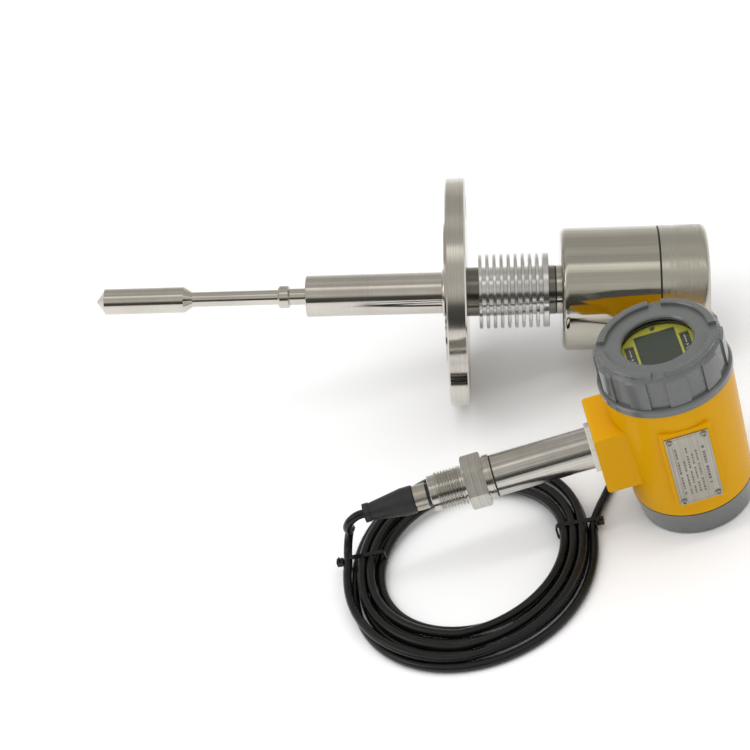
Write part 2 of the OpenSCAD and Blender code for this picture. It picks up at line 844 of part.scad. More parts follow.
// Bracket on four pillars that holds the two coils over the armature
module coil_bracket() {
    color("dimgray")
        along_sensor()
            difference() {
                union() {
                    disc(bracket_r, bracket_s, bracket_s + bracket_t);
                    rotate([0, 0, 45])
                        around(4)
                            translate([pillar_r, 0, 0])
                                disc(pillar_d / 2, floor_s, bracket_s + 1);
                }
                disc(neck_bore_d / 2, bracket_s - 1, bracket_s + bracket_t + 1);
            }
}

// A coil on its bobbin, with a flange at each end
module bobbin(side) {
    along_sensor()
        translate([0, side * coil_post_r, 0]) {
            disc(bobbin_d / 2, bracket_s - 1.2, bracket_s);
            disc(bobbin_d / 2 - 1, bracket_s - bobbin_l + 1, bracket_s - 1);
            disc(bobbin_d / 2, bracket_s - bobbin_l, bracket_s - bobbin_l + 1.2);
        }
}

module drive_coil() {
    color("peru")
        bobbin(1);
}

module pickup_coil() {
    color("peru")
        bobbin(-1);
}

module armature() {
    color("slategray")
        along_sensor()
            difference() {
                translate([-armature_w / 2, -armature_l / 2, armature_s])
                    cube([armature_w, armature_l, armature_t]);
                disc(shank_d / 2 + fit_gap, armature_s - 1, armature_s + armature_t + 1);
            }
}

module amplifier_board() {
    color("darkgreen")
        along_sensor() {
            disc(amplifier_r, amplifier_s, amplifier_s + board_t);
            block(amplifier_block_l, amplifier_block_w, amplifier_s + board_t - eps, amplifier_block_h);
        }
}

module amplifier_posts() {
    color("goldenrod")
        along_sensor()
            around(3)
                translate([amplifier_post_r, 0, 0])
                    hexagon(post_af, bracket_s + bracket_t, amplifier_s);
}

module gland_body() {
    bore_r = cable_d / 2 + 1;
    color("silver")
        at_gland()
            difference() {
                union() {
                    disc(gland_thread_d / 2, gland_nut_z0 - 0.8, gland_z0 + 1);
                    hexagon(gland_af, gland_z0, gland_z1);
                    disc(gland_thread_d / 2 - 0.8, gland_z1 - 1, gland_z1 + gland_nut_l / 2);
                }
                disc(bore_r, gland_nut_z0 - 2, gland_z2);
            }
}

module gland_locknut() {
    color("silver")
        at_gland()
            difference() {
                hexagon(gland_af, gland_nut_z0, gland_nut_z1);
                disc(gland_thread_d / 2 + fit_gap, gland_nut_z0 - 1, gland_nut_z1 + 1);
            }
}

module gland_nut() {
    mouth_r = cable_d / 2 + 2;
    color("silver")
        at_gland()
            difference() {
                union() {
                    hexagon(gland_af, gland_z1, gland_z2 - 4);
                    translate([0, 0, gland_z2 - 4])
                        cylinder(r1 = gland_af / 2 - 0.4, r2 = mouth_r + 1.4, h = 4);
                }
                disc(gland_thread_d / 2 - 0.8 + fit_gap, gland_z1 - 1, gland_z1 + gland_nut_l / 2 + 0.4);
                disc(mouth_r, gland_z1, gland_z2 + 1);
            }
}

module gland_seal() {
    mouth_r = cable_d / 2 + 2 - fit_gap;
    color("black")
        at_gland()
            ring(mouth_r, cable_bore_r, gland_z1 + gland_nut_l / 2 + 0.2, gland_z2);
}

// Outline of the housing's square boss, with a fillet each side where it meets the round body
module boss_outline() {
    half = boss_w / 2;
    centre_y = half + boss_fillet_r;
    centre_x = sqrt(pow(body_r + boss_fillet_r, 2) - pow(centre_y, 2));
    meet = body_r / (body_r + boss_fillet_r);
    translate([-boss_reach, -half])
        square([boss_reach, boss_w]);
    for (side = [-1, 1])
        difference() {
            polygon([
                [0, 0], [-centre_x, side * (half - 1)], [-centre_x, side * half],
                [-centre_x * meet, side * centre_y * meet]
            ]);
            translate([-centre_x, side * centre_y])
                circle(r = boss_fillet_r, $fn = 48);
        }
}

module square_boss() {
    intersection() {
        translate([0, 0, stub_z - boss_h / 2])
            linear_extrude(boss_h)
                boss_outline();
        translate([0, 0, stub_z])
            rotate([0, -90, 0])
                linear_extrude(boss_reach)
                    soft_rectangle(boss_h, 3 * boss_w, boss_edge_r);
        translate([0, 0, stub_z])
            rotate([90, 0, 0])
                linear_extrude(3 * boss_w, center = true)
                    soft_rectangle(2 * boss_reach, boss_h, boss_edge_r);
        translate([0, 0, stub_z - boss_h])
            linear_extrude(2 * boss_h)
                soft_rectangle(2 * boss_reach, 3 * boss_w, boss_edge_r);
    }
}

module nameplate_pad() {
    translate([0, 0, pad_z])
        rotate([90, 0, 0])
            linear_extrude(pad_reach)
                soft_rectangle(pad_w, pad_h, 1.5);
}

// Cast housing: tapered body, square boss, nameplate pad and conduit boss, with two compartments
module transmitter_housing() {
    color("orange")
        at_transmitter()
            difference() {
                union() {
                    rotate_extrude()
                        polygon([
                            [0, body_z0], [body_r, body_z0], [body_top_d / 2, body_z1], [0, body_z1]
                        ]);
                    square_boss();
                    nameplate_pad();
                    translate([0, 0, conduit_z])
                        rotate([-90, 0, 0])
                            disc(conduit_boss_r, 0, conduit_reach);
                    disc(front_thread_r, body_z1 - 1, body_z1 + front_thread_l);
                    disc(rear_thread_r, body_z0 - rear_thread_l, body_z0 + 1);
                }
                disc(front_in_r, bulkhead_z, body_z1 + front_thread_l + 1);
                disc(rear_in_r, body_z0 - rear_thread_l - 1, bulkhead_z0);
                translate([0, terminal_w / 2 + 1.5 * wire_hole_d, 0])
                    disc(wire_hole_d / 2, bulkhead_z0 - 1, bulkhead_z + 1);
                translate([0, 0, stub_z])
                    rotate([0, -90, 0])
                        disc(tube_thread_d / 2 + fit_gap, 0, boss_reach + 1);
                translate([0, 0, conduit_z])
                    rotate([-90, 0, 0])
                        disc(conduit_thread_d / 2 + fit_gap, 0, conduit_reach + 1);
                translate([0, -pad_reach, pad_z])
                    rotate([90, 0, 0])
                        nameplate_corners()
                            disc(plate_shank_d / 2 + fit_gap, -plate_shank_l - 0.2, 1);
            }
}

module nameplate_corners() {
    for (x = [-1, 1], y = [-1, 1])
        translate([x * (plate_w / 2 - plate_screw_in), y * (plate_h / 2 - plate_screw_in), 0])
            children();
}

module nameplate() {
    color("silver")
        at_nameplate()
            difference() {
                linear_extrude(plate_t)
                    square([plate_w, plate_h], center = true);
                nameplate_corners()
                    disc(plate_shank_d / 2 + fit_gap, -1, plate_t + 1);
            }
}

module nameplate_screws() {
    color("silver")
        at_nameplate()
            nameplate_corners() {
                disc(plate_screw_d / 2, plate_t, plate_t + plate_screw_h);
                disc(plate_shank_d / 2, -plate_shank_l, plate_t + 0.1);
            }
}

// Half profile of the front cover without its grip pads and rim
module front_cover_profile() {
    polygon([
        [0, cover_z0], [cover_flange_r, cover_z0], [cover_flange_r, cover_z1 - 1],
        [cover_flange_r - 1, cover_z1],
        [cover_side_r, cover_z1], [cover_side_r, cover_z2], [cover_side_r - cover_bevel, cover_z3],
        [0, cover_z3]
    ]);
}

module grip_pads() {
    top_r = cover_side_r + grip_t - cover_bevel;
    around(grip_count)
        rotate([0, 0, grip_first - grip_angle / 2])
            rotate_extrude(angle = grip_angle)
                polygon([
                    [cover_side_r - 2, cover_z1 - 0.5], [cover_side_r + grip_t, cover_z1 - 0.5],
                    [cover_side_r + grip_t, cover_z2 - 0.6], [top_r, cover_z3 - 0.9],
                    [cover_side_r - 2, cover_z3 - 0.9]
                ]);
}

module notched_rim() {
    arc = 360 / notch_count - notch_angle;
    inner_r = rim_r - rim_w;
    around(notch_count)
        rotate([0, 0, notch_first + notch_angle / 2])
            rotate_extrude(angle = arc)
                polygon([
                    [inner_r, cover_z3 - 0.5], [rim_r, cover_z3 - 0.5], [rim_r, rim_z - 1],
                    [rim_r - 1, rim_z], [inner_r + 0.6, rim_z], [inner_r, rim_z - 0.6]
                ]);
}

module front_cover() {
    color("gray")
        at_transmitter()
            difference() {
                union() {
                    rotate_extrude()
                        front_cover_profile();
                    grip_pads();
                    notched_rim();
                }
                disc(front_thread_r + run_gap, cover_z0 - 1, retainer_z0 - 1);
                disc(glass_r + fit_gap, retainer_z0 - 2, lip_z);
                disc(window_d / 2, lip_z - 1, cover_z3 + 1);
                translate([0, 0, cover_z3 - 1])
                    cylinder(r1 = window_d / 2 - eps, r2 = window_d / 2 + 1 + eps, h = 1 + eps);
            }
}

module glass_seal() {
    color("black")
        at_transmitter()
            ring(glass_r, window_d / 2 + 0.7, glass_z1, lip_z);
}

module cover_glass() {
    color("lightblue", 0.4)
        at_transmitter()
            disc(glass_r, glass_z0, glass_z1);
}

module glass_retainer() {
    color("silver")
        at_transmitter()
            ring(glass_r, retainer_bore_r, retainer_z0, glass_z0);
}

module front_seal() {
    color("black")
        at_transmitter()
            ring(body_top_d / 2 - 0.4, front_thread_r + run_gap, body_z1 + fit_gap, cover_z0 - fit_gap);
}

module rear_seal() {
    color("black")
        at_transmitter()
            ring(body_r - 0.4, rear_thread_r + run_gap, rear_h + fit_gap, body_z0 - fit_gap);
}

module rear_cover() {
    edge = rear_edge_r;
    color("gray")
        at_transmitter()
            difference() {
                rotate_extrude() {
                    polygon([[0, edge], [rear_foot_r, edge], [body_r, rear_h], [0, rear_h]]);
                    square([rear_foot_r - edge, rear_h / 2]);
                    translate([rear_foot_r - edge, edge])
                        circle(r = edge, $fn = 48);
                }
                disc(rear_thread_r + run_gap, rear_end_t + rear_recess_t, rear_h + 1);
                disc(rear_foot_r - rear_rim_w, -1, rear_recess_t);
            }
}

// Openings of the face plate: the panel's window and the two black side fields
module face_plate_outline() {
    difference() {
        circle(r = display_r);
        square([lcd_h + 2 * fit_gap, lcd_w + 2 * fit_gap], center = true);
        for (side = [-1, 1])
            translate([side * key_x, 0])
                square([side_field_w, side_field_l], center = true);
        for (side = [-1, 1])
            translate([0, side * display_screw_y])
                circle(r = 0.8 + fit_gap, $fn = 24);
    }
}

module face_plate() {
    color("yellowgreen")
        at_transmitter()
            translate([0, 0, face_z0])
                linear_extrude(face_plate_t)
                    face_plate_outline();
}

module display_body() {
    pocket_t = 2;
    color("black")
        at_transmitter()
            difference() {
                disc(display_r, display_z0, face_z0);
                translate([0, 0, face_z0 - pocket_t])
                    linear_extrude(pocket_t + 1)
                        square([lcd_h + 2 * fit_gap, lcd_w + 2 * fit_gap], center = true);
                for (side = [-1, 1])
                    translate([side * key_x, -key_y, 0])
                        disc(key_d / 2 + run_gap, face_z0 - 3, face_z0 + 1);
                for (side = [-1, 1])
                    translate([0, side * display_screw_y, 0])
                        disc(0.8 + fit_gap, face_z0 - 4, face_z0 + 1);
            }
}

module lcd_panel() {
    color("darkslategray")
        at_transmitter()
            translate([-lcd_h / 2, -lcd_w / 2, face_z0 - 2])
                cube([lcd_h, lcd_w, 1.8 + face_plate_t]);
}

module face_plate_screws() {
    color("silver")
        at_transmitter()
            for (side = [-1, 1])
                translate([0, side * display_screw_y, 0]) {
                    disc(display_screw_d / 2, face_z1, face_z1 + 0.8);
                    disc(0.8, face_z0 - 3.8, face_z1 + 0.1);
                }
}

// One key, which slides down into its hole in the display's body
module display_key(side) {
    color("darkgray")
        at_transmitter()
            translate([side * key_x, -key_y, 0])
                disc(key_d / 2, face_z0 - 3 + key_travel + 0.2, face_z0 + key_h);
}

module key_left() {
    display_key(-1);
}

module key_right() {
    display_key(1);
}

module display_board() {
    color("darkgreen")
        at_transmitter()
            disc(board_r, display_board_z, display_z0);
}

module main_board() {
    color("darkgreen")
        at_transmitter() {
            disc(board_r, main_z, main_z + board_t);
            block(main_block_l, main_block_w, main_z + board_t - eps, main_block_h);
            translate([-relay_l / 2 - 2, relay_w, 0])
                block(relay_l, relay_w, main_z - relay_h, relay_h + eps);
        }
}

module board_posts() {
    color("goldenrod")
        at_transmitter()
            around(3)
                rotate([0, 0, 30])
                    translate([post_r, 0, 0]) {
                        hexagon(post_af, bulkhead_z, main_z);
                        hexagon(post_af, main_z + board_t, display_board_z);
                    }
}

module terminal_block() {
    color("darkslategray")
        at_transmitter()
            difference() {
                block(terminal_l, terminal_w, bulkhead_z0 - terminal_h, terminal_h);
                for (i = [0 : terminal_count - 1])
                    translate([(i - (terminal_count - 1) / 2) * terminal_pitch, 0, 0])
                        disc(terminal_d / 2, bulkhead_z0 - terminal_h - 1, bulkhead_z0 - terminal_h / 2);
            }
}

module blanking_plug() {
    color("silver")
        at_conduit() {
            hexagon(conduit_thread_d + 4, conduit_reach, conduit_reach + 5);
            disc(conduit_thread_d / 2, rear_in_r + 3, conduit_reach + 1);
        }
}

module neck_locknut() {
    color("silver")
        along_stub()
            difference() {
                hexagon(tube_d + 2 * locknut_over, boss_reach, locknut_s1);
                disc(tube_thread_d / 2 + fit_gap, boss_reach - 1, locknut_s1 + 1);
            }
}

module neck_tube() {
    color("silver")
        along_stub()
            difference() {
                union() {
                    disc(tube_thread_d / 2, boss_reach - tube_thread_l, locknut_s1 + 1);
                    disc(tube_d / 2, locknut_s1, tube_s1);
                }
                disc(tube_bore_r, boss_reach - tube_thread_l - 1, tube_s1 + 1);
            }
}

module tube_seal() {
    color("black")
        along_stub()
            ring(tube_d / 2 - 0.3, tube_bore_r, tube_s1, fitting_s0);
}

// Turned fitting: collar, bevelled hexagon, thread and plain end, with a spigot in the neck tube
module threaded_fitting() {
    corner_r = fitting_af / sqrt(3);
    b = fitting_bevel;
    color("silver")
        along_stub()
            difference() {
                union() {
                    disc(tube_bore_r - fit_gap, fitting_s0 - 8, fitting_s0 + 1);
                    disc(fitting_collar_r, fitting_s0, hex_s0 + 1);
                    intersection() {
                        hexagon(fitting_af, hex_s0, hex_s1);
                        rotate_extrude()
                            polygon([
                                [0, hex_s0], [corner_r - b, hex_s0], [corner_r, hex_s0 + b * 0.6],
                                [corner_r, hex_s1 - b * 0.6], [corner_r - b, hex_s1], [0, hex_s1]
                            ]);
                    }
                    disc(fitting_thread_d / 2 - 1.2, hex_s1 - 1, hex_s1 + 2);
                    disc(fitting_thread_d / 2, hex_s1 + 1.6, thread_s1);
                    disc(fitting_thread_d / 2 - fitting_end_step, thread_s1 - 1, fitting_s1);
                }
                disc(socket_d / 2 - 2, fitting_s0 - 9, fitting_s1 + 1);
                disc(socket_d / 2 + fit_gap, fitting_s1 - socket_in_l, fitting_s1 + 1);
            }
}

module connector_socket() {
    color("black")
        along_stub()
            disc(socket_d / 2, fitting_s1 - socket_in_l, socket_s1);
}

module plug_body() {
    color("dimgray")
        along_stub()
            disc(plug_r, socket_s1, boot_s0 + 5);
}

module coupling_ring() {
    color("gainsboro")
        along_stub()
            ring(coupling_r, plug_r + pin_gap, socket_s1 + 0.1, coupling_s1);
}

module cable_boot() {
    color("black")
        along_stub()
            difference() {
                rotate_extrude() {
                    polygon([
                        [0, boot_s0], [boot_r - 0.6, boot_s0], [boot_r, boot_s0 + 0.6],
                        [boot_r, boot_s1], [boot_end_r, boot_s2], [0, boot_s2]
                    ]);
                    translate([0, boot_s2 - 0.5])
                        square([boot_end_r + boot_bead_over, boot_bead_l + 0.5]);
                }
                disc(plug_r + fit_gap, boot_s0 - 1, boot_s0 + 5);
                disc(cable_bore_r, boot_s0, boot_s3 + 1);
            }
}

// Sweep of a round section along a list of points: a frame is carried from each point to the next
function unit(v) = v / norm(v);
function tangent(p, i) = unit(p[min(i + 1, len(p) - 1)] - p[max(i - 1, 0)]);
function across(n, t) = unit(n - (n * t) * t);
function normals(p) = [
    for (i = 0, n = across([0.3, 0.5, 1], tangent(p, 0)); i < len(p);
         i = i + 1, n = across(n, tangent(p, min(i, len(p) - 1)))) n
];
function tube_points(p, r) = [
    for (i = [0 : len(p) - 1], k = [0 : TUBE_SIDES - 1])
        let (t = tangent(p, i), n = normals(p)[i], a = k * 360 / TUBE_SIDES)
            p[i] + r * (cos(a) * n + sin(a) * cross(t, n))
];
function tube_side_faces(rings) = [
    for (i = [0 : rings - 2], k = [0 : TUBE_SIDES - 1])
        let (a = i * TUBE_SIDES + k, b = i * TUBE_SIDES + (k + 1) % TUBE_SIDES)
            [a, a + TUBE_SIDES, b + TUBE_SIDES, b]
];
function tube_end_faces(rings) = [
    [for (k = [0 : TUBE_SIDES - 1]) k],
    [for (k = [TUBE_SIDES - 1 : -1 : 0]) (rings - 1) * TUBE_SIDES + k]
];

module cable_tube(p) {
    polyhedron(
        points = tube_points(p, cable_d / 2),
        faces = concat(tube_side_faces(len(p)), tube_end_faces(len(p)))
    );
}

module cable_to_plug() {
    color("black")
        cable_tube(TO_PLUG);
}

module cable_to_head() {
    color("black")
        cable_tube(TO_HEAD);
}

// The coil's outer shape: round at the ties' width, drawn out along Y where it lies looser
module coil_outline() {
    outer_r = coil_in_r + coil_bundle_w;
    difference() {
        union() {
            for (side = [-1, 1])
                translate([0, side * coil_spread])
                    circle(r = outer_r);
            square([2 * outer_r, 2 * coil_spread], center = true);
        }
        circle(r = coil_in_r);
    }
}

module cable_coil() {
    color("black")
        translate([coil_x, coil_y, tie_t + 0.1])
            linear_extrude(coil_h)
                coil_outline();
}

// A strap round the bundle at a distance y from the coil's middle line, with its head outside
module cable_tie(side, y) {
    outer_x = coil_in_r + coil_bundle_w;
    inner_x = sqrt(pow(coil_in_r, 2) - pow(abs(y) + tie_w / 2, 2));
    w = outer_x - inner_x + 0.4;
    h = coil_h + 0.2;
    head_x = w / 2 + tie_head / 2;
    color("black")
        translate([coil_x + side * (outer_x + inner_x) / 2, coil_y + y, tie_t + h / 2])
            rotate([90, 0, 0]) {
                linear_extrude(tie_w, center = true)
                    difference() {
                        soft_rectangle(w + 2 * tie_t, h + 2 * tie_t, tie_t);
                        square([w, h], center = true);
                    }
                translate([side * head_x, h / 2 - tie_head / 2, 0])
                    cube([tie_head, tie_head, tie_w + 1.4], center = true);
            }
}

module cable_tie_left() {
    cable_tie(-1, tie_left_y);
}

module cable_tie_right() {
    cable_tie(1, tie_right_y);
}

sensing_rod();
rod_collar();
torsion_rod();
sheath_tube();
process_flange();
cooling_radiator();
neck_seal();
head_housing();
head_seal();
head_cap();
coil_bracket();
drive_coil();
pickup_coil();
armature();
amplifier_board();
amplifier_posts();
gland_body();
gland_nut();
gland_seal();
gland_locknut();
transmitter_housing();
front_cover();
cover_glass();
glass_seal();
glass_retainer();
front_seal();
display_body();
face_plate();
lcd_panel();
face_plate_screws();
key_left();
key_right();
display_board();
main_board();
board_posts();
terminal_block();
rear_cover();
rear_seal();
nameplate();
nameplate_screws();
blanking_plug();
neck_locknut();
neck_tube();
tube_seal();
threaded_fitting();
connector_socket();
coupling_ring();
plug_body();
cable_boot();
cable_to_plug();
cable_coil();
cable_to_head();
cable_tie_left();
cable_tie_right();
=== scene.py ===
import bpy, bmesh, math
from mathutils import Matrix, Vector


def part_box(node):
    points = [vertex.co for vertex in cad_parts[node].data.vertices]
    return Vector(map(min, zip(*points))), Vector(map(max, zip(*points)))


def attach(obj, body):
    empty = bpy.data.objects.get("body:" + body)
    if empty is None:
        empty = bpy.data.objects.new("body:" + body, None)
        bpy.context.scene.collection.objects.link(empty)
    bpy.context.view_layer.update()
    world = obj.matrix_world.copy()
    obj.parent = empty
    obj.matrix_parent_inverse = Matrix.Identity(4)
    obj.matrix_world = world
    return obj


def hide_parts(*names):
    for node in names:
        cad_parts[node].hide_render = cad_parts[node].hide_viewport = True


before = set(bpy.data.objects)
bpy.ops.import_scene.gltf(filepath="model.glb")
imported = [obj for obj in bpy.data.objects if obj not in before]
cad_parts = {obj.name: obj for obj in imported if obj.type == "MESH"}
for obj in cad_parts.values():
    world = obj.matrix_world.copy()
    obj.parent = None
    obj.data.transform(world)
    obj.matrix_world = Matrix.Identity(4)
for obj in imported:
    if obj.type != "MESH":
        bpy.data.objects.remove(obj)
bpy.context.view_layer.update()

# Camera, found from the object's own edges in the photograph
CAM_AZ, CAM_EL, CAM_ROLL = math.radians(14.11), math.radians(36.95), math.radians(-20.21)
CAM_AT = Vector((0.27724, -1.2155, 1.0181))
CAM_LENS, CAM_SENSOR, CAM_FAR = 106.2, 36, 20
back = Vector((math.sin(CAM_AZ) * math.cos(CAM_EL), -math.cos(CAM_AZ) * math.cos(CAM_EL),
               math.sin(CAM_EL)))
level = Vector((math.cos(CAM_AZ), math.sin(CAM_AZ), 0))
over = back.cross(level)
right = math.cos(CAM_ROLL) * level + math.sin(CAM_ROLL) * over
up = -math.sin(CAM_ROLL) * level + math.cos(CAM_ROLL) * over
cam_data = bpy.data.cameras.new("camera")
cam_data.lens, cam_data.sensor_width, cam_data.clip_end = CAM_LENS, CAM_SENSOR, CAM_FAR
camera = bpy.data.objects.new("camera", cam_data)
camera.matrix_world = Matrix.Translation(CAM_AT) @ Matrix((right, up, back)).transposed().to_4x4()
bpy.context.collection.objects.link(camera)
bpy.context.scene.camera = camera

# Frames of the sensor and the transmitter, as in the construction
TILT = math.radians(12.8314)
SENSOR_AT = Vector((0.041197, 0.068, 0.080218))
SENSOR_AXIS = Vector((math.cos(TILT), 0, -math.sin(TILT)))
TRANSMITTER_AT = Vector((0.1794, -0.103, 0))
STUB_TURN = math.radians(8)
STUB_Z = 0.0663
STUB_AXIS = Vector((-math.cos(STUB_TURN), -math.sin(STUB_TURN), 0))


def link(obj):
    bpy.context.collection.objects.link(obj)
    return obj


# The cable: one length from the plug's boot, round the coil and up to the sensor's gland.
# Points in millimetres. From the boot it swings out behind, so that no bend is tighter than 12 mm,
# and comes into the left tie from above. The other loose end has the construction's own points.
CABLE_R, CABLE_MM = 0.003, 6.0
TO_PLUG = [
    (-34.7, -133.1, 66.3), (-37.7, -133.5, 66.3), (-40.4, -133.9, 65.7), (-43.6, -134.1, 64),
    (-47, -133.9, 60.8), (-49.6, -132, 55.1), (-49.9, -128, 50.1), (-50, -123.4, 47.2),
    (-51.3, -119.1, 43.1), (-52.9, -114.8, 38.8), (-54.4, -110.5, 34.7), (-55.6, -106.1, 31.2),
    (-57.3, -103.3, 27), (-58.9, -102.5, 23.3), (-60.1, -102.8, 20.3), (-61, -103.7, 17.9),
    (-61.8, -105.2, 15.6), (-62.4, -107.1, 13.6), (-62.8, -109.8, 11.9), (-62.8, -115.4, 10.4),
]
TO_HEAD = [
    (153.3, 1.8, 54.7), (153.3, -5.5, 54.7), (153.2, -12.5, 52.8), (152.6, -19.2, 48.4),
    (151.2, -25.6, 41.8), (149.1, -31.6, 33.6), (146.4, -37.4, 25), (143, -43.2, 16.8),
    (139, -49.6, 9.8), (134.2, -57.2, 5.2), (128.6, -66.4, 3.6), (122.4, -79.6, 3.4),
    (116.6, -93.4, 3.8), (112, -106, 5),
]
COIL_AT = (22.8, -129.0)
POINTS_A_TURN = 60
COIL_FROM, COIL_TO = 172, 366 + 6 * 360
TURNS_INWARD = 3.0
# Lanes of the coil, and how the turns lie further apart and wander away from the ties
LANE, INNER_LANE_R = 6.2, 63.1
SPREAD, TIE_GRIP = 0.75, 1.6
WANDER, WANDER_ROUND, WANDER_ACROSS = 0.5, 2.3, 4.1
# The cable comes in further out than the outermost lane, and takes part of a turn to join it
ENTRY_R, ENTRY_TURNS = 86.0, 0.2
# Height of the lower turns, how far they drop where loose, and the rest of an upper turn on them
LOW_Z, LOOSE_DROP = 4.35, 1.2
WIDEST_REST, REST_GAP = 5.6, 0.1
# The innermost upper turn steps down to the floor over this part of a turn
STEP_BEFORE, STEP_TURNS = 0.2, 0.26


def soft_step(x):
    x = min(1, max(0, x))
    return x * x * (3 - 2 * x)


def coil_points():
    """Turns that wind inward on top and outward underneath, loosened away from the two ties."""
    out = []
    turns = (COIL_TO - COIL_FROM) / 360
    count = int(turns * POINTS_A_TURN)
    for i in range(count + 1):
        turn = turns * i / count
        a = math.radians(COIL_FROM + 360 * turn)
        loose = abs(math.sin(a)) ** TIE_GRIP
        lane = abs(TURNS_INWARD - turn)
        pitch = LANE * (1 + SPREAD * loose)
        wander = WANDER * loose * math.sin(WANDER_ROUND * a + WANDER_ACROSS * lane)
        entry = (ENTRY_R - INNER_LANE_R - LANE * TURNS_INWARD) * (1 - soft_step(turn / ENTRY_TURNS))
        r = INNER_LANE_R + lane * pitch + wander + entry
        # The upper turns settle into the gaps between the lower ones
        beside = pitch * (0.5 - abs((2 * turn) % 1 - 0.5))
        low = LOW_Z - LOOSE_DROP * loose
        high = low + math.sqrt(CABLE_MM ** 2 - min(WIDEST_REST, beside) ** 2) + REST_GAP
        drop = soft_step((turn - TURNS_INWARD + STEP_BEFORE) / STEP_TURNS)
        z = high + (low - high) * drop
        out.append((COIL_AT[0] + r * math.cos(a), COIL_AT[1] + r * math.sin(a), z))
    return out


cable_mm = TO_PLUG + coil_points()[1:] + TO_HEAD[::-1]
cable_path = [tuple(c / 1000 for c in p) for p in cable_mm]
curve = bpy.data.curves.new("signal_cable", "CURVE")
curve.dimensions = "3D"
# Blender adds a point's radius to a curve's box, so the points hold the cable's own radius
curve.bevel_depth = 1.0
curve.bevel_resolution = 4
curve.resolution_u = 3
curve.use_fill_caps = True
spline = curve.splines.new("BEZIER")
spline.bezier_points.add(len(cable_path) - 1)
for point, co in zip(spline.bezier_points, cable_path):
    point.co = co
    point.radius = CABLE_R
    point.handle_left_type = point.handle_right_type = "AUTO"
cable = link(bpy.data.objects.new("signal_cable", curve))
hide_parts("cable_to_plug", "cable_coil", "cable_to_head")
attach(cable, "viscometer")


# Pieces made here: straps, thread, weld, screws, marks
TAU = 2 * math.pi


def frame_of(origin, z, x):
    z = Vector(z).normalized()
    x = (Vector(x) - Vector(x).dot(z) * z).normalized()
    return Matrix.Translation(origin) @ Matrix((x, z.cross(x), z)).transposed().to_4x4()


STUB_FRAME = frame_of(TRANSMITTER_AT + Vector((0, 0, STUB_Z)), STUB_AXIS, (0, 0, 1))
SENSOR_FRAME = frame_of(SENSOR_AT, SENSOR_AXIS, (0, 0, -1))


def piece(name, verts, faces, place=Matrix(), smooth=True, sharp=35):
    mesh = bpy.data.meshes.new(name)
    mesh.from_pydata([place @ (Vector(v) / 1000) for v in verts], [], faces)
    bm = bmesh.new()
    bm.from_mesh(mesh)
    bmesh.ops.remove_doubles(bm, verts=bm.verts, dist=1e-7)
    bmesh.ops.recalc_face_normals(bm, faces=bm.faces)
    bm.to_mesh(mesh)
    bm.free()
    obj = link(bpy.data.objects.new(name, mesh))
    if smooth:
        mesh.polygons.foreach_set("use_smooth", [True] * len(mesh.polygons))
        mesh.set_sharp_from_angle(angle=math.radians(sharp))
    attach(obj, "viscometer")
    return obj


def grid_faces(rows, count):
    """Quads of a surface that closes both ways: rows of count points each."""
    faces = []
    for j in range(rows):
        a, b = j * count, (j + 1) % rows * count
        faces += [(a + i, a + (i + 1) % count, b + (i + 1) % count, b + i) for i in range(count)]
    return faces


def rings(name, rows, count, place, **kw):
    """A closed surface through rows of (height, radius at an angle)."""
    verts = []
    for z, radius in rows:
        for i in range(count):
            a = TAU * i / count
            r = radius(a) if callable(radius) else radius
            verts.append((r * math.cos(a), r * math.sin(a), z))
    return piece(name, verts, grid_faces(len(rows), count), place, **kw)


def swept_loop(name, path, section, place=Matrix(), **kw):
    """A section of (out, along y) points carried round a closed path in the local xz plane."""
    n, m = len(path), len(section)
    verts = []
    for k in range(n):
        (ax, az), (bx, bz) = path[k - 1], path[(k + 1) % n]
        tangent = Vector((bx - ax, 0, bz - az)).normalized()
        out = Vector((tangent.z, 0, -tangent.x))
        for o, y in section:
            verts.append(Vector((path[k][0], y, path[k][1])) + o * out)
    return piece(name, verts, grid_faces(n, m), place, **kw)


def block(x0, x1, y0, y1, z0, z1, edge=0.3):
    """Corner points and faces of a block with bevelled edges, to be joined into a piece."""
    bm = bmesh.new()
    bmesh.ops.create_cube(bm, size=1)
    for v in bm.verts:
        v.co = Vector(((x0 + x1) / 2 + v.co.x * (x1 - x0), (y0 + y1) / 2 + v.co.y * (y1 - y0),
                       (z0 + z1) / 2 + v.co.z * (z1 - z0)))
    if edge:
        bmesh.ops.bevel(bm, geom=list(bm.edges), offset=edge, segments=2, affect="EDGES",
                        profile=0.5)
    bm.verts.index_update()
    out = [tuple(v.co) for v in bm.verts], [tuple(v.index for v in f.verts) for f in bm.faces]
    bm.free()
    return out


def gathered(parts):
    verts, faces = [], []
    for v, f in parts:
        faces += [tuple(i + len(verts) for i in face) for face in f]
        verts += v
    return verts, faces


# Cable ties: a strap drawn round the bundle, its head outside and its cut tail standing up
TIE_T, TIE_W, TIE_EDGE = 1.1, 3.6, 0.3
TIE_CORNER, CORNER_STEPS, TIE_STEP = 3.0, 8, 0.8
TIE_HEAD, TIE_HEAD_IN, TIE_HEAD_Z = 5.0, 0.6, (8.2, 12.4)
TAIL_T, TAIL_OUT, TAIL_Z = 1.1, 0.4, (12, 14.3)
BUNDLE_X, BUNDLE_Z = (60.1, 88.2), (1.25, 13.45)
STRAP_DIP, TOP_DIP = 0.22, 0.12


